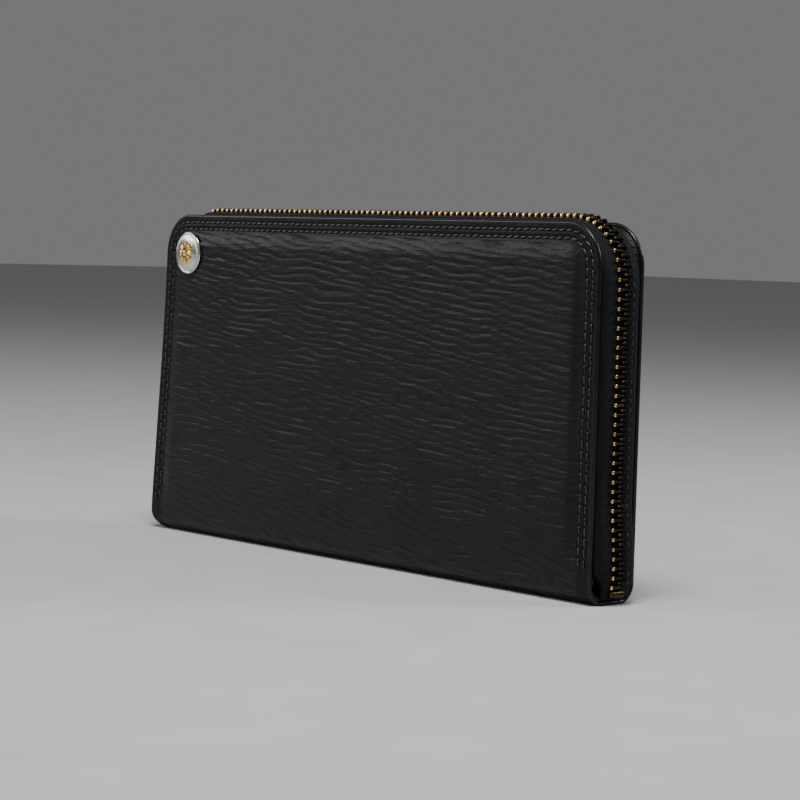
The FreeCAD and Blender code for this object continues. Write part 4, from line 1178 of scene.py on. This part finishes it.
def make_rosette(centre, crown):
    """The gold rosette on the dome: eight petals round a button."""
    low, high = box_mm("concho_emblem")
    reach = (high[0] - low[0]) / 2 * 1.05
    top = -low[1]
    petals, steps = 8, 192
    wave = petals * turns(steps) / 2

    def petal(radius, out, _):
        share = radius / reach
        lobe = np.abs(np.cos(wave)) ** 0.5
        wide = radius * (1 - 0.16 * share ** 3 * (1 - lobe))
        vein = 1 - 0.35 * bell(np.sin(wave), 0.14) * smooth(share / 0.8)
        full = lobe * vein * smooth((share - 0.3) / 0.12) * smooth((1.03 - share) / 0.3)
        return wide, out + (top - crown) * 0.62 * full

    profile = [(reach * 0.85, crown - 0.7), (reach * 0.98, crown - 0.45)]
    profile += [(reach * r, crown - 0.3 + 0.3 * (1 - r ** 2)) for r in np.linspace(1, 0.4, 20)]
    profile += [(reach * 0.37, crown - 0.12), (reach * 0.33, crown - 0.08)]
    for r in np.linspace(0.31, 0.02, 10):
        profile.append((reach * r, top - 0.7 * (top - crown) * (r / 0.31) ** 2.5))
    share = np.array(profile)[:, :1] / reach
    leaf = np.abs(np.cos(wave)) ** 0.7 * smooth((share - 0.36) / 0.12)
    rubbed_and_glint = np.maximum(leaf, smooth((0.3 - share) / 0.06))
    make_piece(
        "concho_gold_rosette", lathe(profile, centre, steps, petal), "polished_gold",
        "front_cover", replaces="concho_emblem",
        wear=np.clip(0.2 + 0.8 * rubbed_and_glint - bell(share - 0.35, 0.05), 0, 1),
    )


# ---------------------------------------------------------------- inside
CARD_STITCH = 2.6
COIN_CHAIN = 77.0
COIN_FIRST = -78.6
COIN_PITCH = 2.0
COIN_TEETH = 80


def spread_levels(low, high, near, fine, coarse):
    """Levels from low to high, closer together within near of both ends."""
    ends = np.linspace(0, near, fine)
    middle = np.linspace(low + near, high - near, coarse)[1:-1]
    return np.concatenate([low + ends, middle, high - ends[::-1]])


def card_sheet(node, side, mouth):
    """One card bank's sheet, with a rolled, creased mouth and a faint pebble."""
    low, high = box_mm(node)
    inner, outer = layer(node)
    x, z = np.meshgrid(
        spread_levels(low[0], high[0], 2, 5, 40),
        np.concatenate([np.linspace(low[2], high[2] - 3, 16), high[2] - np.linspace(2.8, 0, 22)]),
    )
    below = high[2] - z
    edge = np.minimum(x - low[0], high[0] - x)
    lift = 0.012 * noise(x / 7, z / 5)
    round_over = 0.11 * (bell(below, 0.25) + bell(edge, 0.25))
    if mouth:
        lift = lift + 0.16 * bell(below - 0.55, 0.55) - 0.13 * bell(below - 1.75, 0.22)
    near = np.stack([x, side * (inner - lift + round_over), z], -1)
    far = np.stack([x, side * (outer - 0.01 - round_over * 0.5), z], -1)
    return slab(near, far)


def thread_line(start, end, normal, pitch=2.5, size=0.2):
    """Stitches in a straight line, as tubes that dive into the leather at their ends."""
    start, end, normal = (np.array(v, float) for v in (start, end, normal))
    length = np.linalg.norm(end - start)
    ahead = (end - start) / length
    reach = np.linspace(-1, 1, 7)[:, None]
    across = np.cross(ahead, normal)
    one = reach * (ahead * pitch * 0.38 + across * 0.09)
    one = one + (size * 1.1 * (1 - reach ** 4) - size * 0.6) * normal
    count = max(1, int(length / pitch))
    middles = start + ahead * ((np.arange(count) + 0.5) * length / count)[:, None]
    normals = np.tile(normal, (count, len(reach), 1))
    radii = size * (1 - 0.5 * reach ** 6) * (1, 0.8)
    return tubes(middles[:, None] + one, normals, radii, 6)


def make_card_banks():
    """Four overlapping card rows on each side of the wallet, sewn to a base sheet."""
    for name, side in SIDES.items():
        body, base = f"{name}_cover", f"{name}_card_base"
        rows = [f"{name}_card_pocket_{n}" for n in (1, 2, 3, 4)]
        for node in [base] + rows:
            shape = card_sheet(node, side, node != base)
            make_piece(f"{node}_sheet", shape, "card_leather", body, replaces=node)
        low, high = box_mm(rows[0])
        mouths = [box_mm(node)[1][2] for node in rows[::-1]]
        faces = [side * layer(node)[0] for node in rows[::-1]]
        normal = (0, -side, 0)
        bottom = low[2] + 1.5
        threads = []
        for x in (low[0] + 1.6, 0.0, high[0] - 1.6):
            for start, end, y in zip([bottom] + mouths, mouths, faces):
                line = (x, y, start + 0.2), (x, y, end - 0.2)
                threads.append(thread_line(*line, normal, CARD_STITCH))
        foot = (low[0] + 2.4, faces[0], bottom), (high[0] - 2.4, faces[0], bottom)
        threads.append(thread_line(*foot, normal, CARD_STITCH))
        make_piece(f"{name}_card_stitching", combine(*threads), "thread", body)


def purse_bulge(x, z):
    """How far the coin purse's leather stands out between the gussets."""
    return 0.9 * smooth((64 - np.abs(x)) / 34) * smooth((z - 11) / 20) * smooth((73 - z) / 12)


def make_coin_purse():
    """Two soft panels sewn together round the sides and the bottom."""
    for name, side in SIDES.items():
        node = f"coin_purse_{name}"
        low, high = box_mm(node)
        inner, outer = layer(node)
        x, z = np.meshgrid(
            spread_levels(low[0], high[0], 2, 6, 60), spread_levels(low[2], high[2], 2, 6, 30)
        )
        edge = np.minimum(np.minimum(x - low[0], high[0] - x), z - low[2])
        lift = purse_bulge(x, z) * (1 + 0.12 * noise(x / 16, z / 9))
        sunk = 0.13 * bell(edge, 0.3) + 0.08 * bell(edge - 1.9, 0.35)
        far = np.stack([x, side * (outer + lift - sunk), z], -1)
        near = np.stack([x, side * (inner + lift), z], -1)
        shape = slab(far, near)
        make_piece(f"{node}_sheet", shape, "card_leather", "coin_purse", replaces=node)
        level, normal = side * (outer - 0.08), (0, side, 0)
        left, right, bottom, top = low[0] + 1.9, high[0] - 1.9, low[2] + 1.9, high[2] - 2.2
        lines = [((x, level, bottom), (x, level, high[2] - 1)) for x in (left, right)]
        lines.append(((left + 1, level, bottom), (right - 1, level, bottom)))
        span = np.linspace(left + 2, right - 2, 71)
        for start, end in zip(span[:-1], span[1:]):
            y = side * (outer + float(purse_bulge((start + end) / 2, top)) - 0.04)
            lines.append(((start, y, top), (end, y, top)))
        threads = [thread_line(*line, normal) for line in lines]
        make_piece(f"{node}_stitching", combine(*threads), "thread", "coin_purse")


def make_coin_zip():
    """The coin purse's tapes and small teeth.

    Each tape rises between the panels, turns out over the panel's edge and turns
    back above it to the teeth.
    """
    low_turn, bend = COIN_CHAIN - 3.5, 1.3
    for name, side in SIDES.items():
        node = f"coin_zip_tape_{name}"
        low, high = box_mm(node)
        middle = layer(node)[1] - 0.15 - bend
        ring, across = ribbon([
            (0.4, low[2]), (0.4, low_turn - 0.3), *arc(0.9, low_turn, 0.5, math.pi, QUARTER, 5),
            *arc(middle, COIN_CHAIN - 2.95 + bend, bend, -QUARTER, 0, 6),
            *arc(middle, COIN_CHAIN - bend, bend, 0, QUARTER, 6),
            (1.6, COIN_CHAIN), (0.9, COIN_CHAIN),
        ], 0.14)
        x = np.linspace(low[0], high[0], 240)
        zero = np.zeros_like(x)
        shape = swept(
            np.stack([x, zero, zero], -1), np.tile((0, side, 0), (len(x), 1)),
            np.tile((0, 0, 1), (len(x), 1)), ring,
        )
        make_piece(
            f"{node}_weave", shape, "zip_tape", "coin_purse", replaces=node,
            along=np.repeat(x, len(ring)), across=np.tile(across, len(x)),
        )
        places = tooth_places(COIN_FIRST, COIN_PITCH, COIN_TEETH, side)
        spots = np.stack([places, 0 * places, 0 * places + COIN_CHAIN], -1)
        seats = spots, np.tile((0, 0, 1), (COIN_TEETH, 1)), np.tile((1, 0, 0), (COIN_TEETH, 1))
        teeth = tooth_shape(0.4, 2.15, 1.0, 0.9)
        teeth_row(f"coin_zip_teeth_{name}", "coin_purse", seats, side, teeth)


# FOLD is a gusset's fold: place along it, share of the way to the fold's apex, where that
# way starts in |x|, and the distance from the middle plane. It is sewn to the lining
# at one end and to the coin purse's edge at the other. PURSE_SIDE and COVER_SIDE are
# the two distances that each piece is given as its bend.
FOLD_CREASE = 90.2
PURSE_SIDE, COVER_SIDE = 1.36, 4.1
FOLD = (
    (0.0, 0.0, 97.0, 6.06), (0.13, 0.0, 93.4, 6.02), (0.19, 0.0, 92.2, 5.6), (0.25, 0.0, 91.6, 4.5),
    (0.3, 0.0, 90.4, 3.92), (0.46, 0.72, 90.4, 3.55), (0.57, 0.96, 90.4, 3.0),
    (0.62, 1.0, 90.4, 2.6), (0.67, 0.96, 89.8, 2.3), (0.78, 0.72, 89.8, 1.85),
    (0.92, 0.1, 89.8, 1.48), (1.0, 0.0, 89.8, 1.42),
)


def make_gussets():
    """Folded leather at the four ends, which lets the covers open like a fan."""
    even = np.linspace(0, 1, 41)
    stations, towards_apex, starts, distances = np.array(FOLD).T
    for end, end_name in ((-1, "left"), (1, "right")):
        for name, side in SIDES.items():
            node = f"gusset_{end_name}_{name}"
            low, high = box_mm(node)
            z = np.linspace(low[2], high[2], 28)[:, None]
            depth = (z - low[2]) / (high[2] - low[2])
            apex = FOLD_CREASE + (min(abs(low[0]), abs(high[0])) - FOLD_CREASE) * depth
            x, y = starts + (apex - starts) * towards_apex, distances + 0 * apex
            x = np.array([np.interp(even, stations, row) for row in x])
            y = np.array([np.interp(even, stations, row) for row in y])
            for _ in range(2):
                for line in (x, y):
                    line[:, 1:-1] = (line[:, :-2] + 2 * line[:, 1:-1] + line[:, 2:]) / 4
            y += 0.04 * noise(x / 6, z / 8) * smooth(COVER_SIDE - y)
            step_x, step_y = np.gradient(x, axis=1), np.gradient(y, axis=1)
            size = (0.13 - 0.08 * smooth(even)) / np.hypot(step_x, step_y)
            shift_x, shift_y = step_y * size, -step_x * size
            level = z + 0 * x
            outer = np.stack([end * (x + shift_x), side * (y + shift_y), level], -1)
            inner = np.stack([end * (x - shift_x), side * (y - shift_y), level], -1)
            bend = (PURSE_SIDE, -COVER_SIDE) if side == FRONT else (COVER_SIDE, -PURSE_SIDE)
            shape = slab(outer, inner)
            make_piece(f"{node}_fold", shape, "gusset_leather", bend=bend, replaces=node)


# ---------------------------------------------------------------- stage
def make_camera():
    """The camera stands at the front right, a little above the wallet's middle."""
    spot = Vector((578.67, -466.56, 92.91)) * MM
    ahead = Vector((-0.77138, 0.63344, -0.06104)).normalized()
    right = Vector((0.63303, 0.77361, 0.0284))
    right = (right - ahead * right.dot(ahead)).normalized()
    up = right.cross(ahead)
    turn = Matrix((right, up, -ahead)).transposed().to_4x4()
    data = bpy.data.cameras.new("camera")
    data.lens = 115.34
    data.sensor_width = 36
    data.clip_start = 0.01
    data.clip_end = 50
    camera = bpy.data.objects.new("camera", data)
    camera.matrix_world = Matrix.Translation(spot) @ turn
    bpy.context.scene.collection.objects.link(camera)
    bpy.context.scene.camera = camera


def area_light(name, spot, target, width, height, power, colour=(1, 1, 1)):
    data = bpy.data.lights.new(name, "AREA")
    data.shape = "RECTANGLE"
    data.size, data.size_y = width, height
    data.energy = power
    data.color = colour
    light = bpy.data.objects.new(name, data)
    light.location = spot
    away = Vector(target) - Vector(spot)
    light.rotation_euler = away.to_track_quat("-Z", "Y").to_euler()
    bpy.context.scene.collection.objects.link(light)


def make_stage():
    """A pale floor, an even pale sky and soft lamps."""
    n = Nodes("floor_paper")
    cloud = n.noise(40, 4)
    n.finish(n.ramp(cloud, [(0.3, (0.47, 0.47, 0.46)), (0.7, (0.51, 0.51, 0.5))]), 0.85)
    bpy.ops.mesh.primitive_plane_add(size=12)
    floor = bpy.context.object
    floor.name = "floor"
    floor.data.materials.append(n.material)
    world = bpy.data.worlds.new("studio")
    world.use_nodes = True
    sky = world.node_tree.nodes["Background"]
    sky.inputs["Color"].default_value = (0.82, 0.83, 0.85, 1)
    sky.inputs["Strength"].default_value = 0.22
    bpy.context.scene.world = world
    area_light("key", (0.25, -0.24, 0.95), (0, 0, 0.05), 0.35, 0.35, 10.5)
    area_light("sheen", (-1.2, -0.95, 0.68), (0, 0, 0.05), 1.0, 0.5, 7.2)
    area_light("rim", (0.55, 0.75, 0.6), (0.05, 0, 0.08), 0.35, 0.35, 5.0, (0.82, 0.9, 1.0))


make_camera()
make_stage()
make_cover()
make_stiffeners()
make_edge_bead()
make_cover_stitches()
make_lining()
make_tapes()
make_teeth()
make_stops()
make_hardware()
make_concho()
make_card_banks()
make_coin_purse()
make_coin_zip()
make_gussets()

for part in frame["record"]["subparts"]:
    mesh = frame["nodes"][part["node"]].data
    mesh.materials.clear()
    mesh.materials.append(MATERIALS[part["material_slot"]])
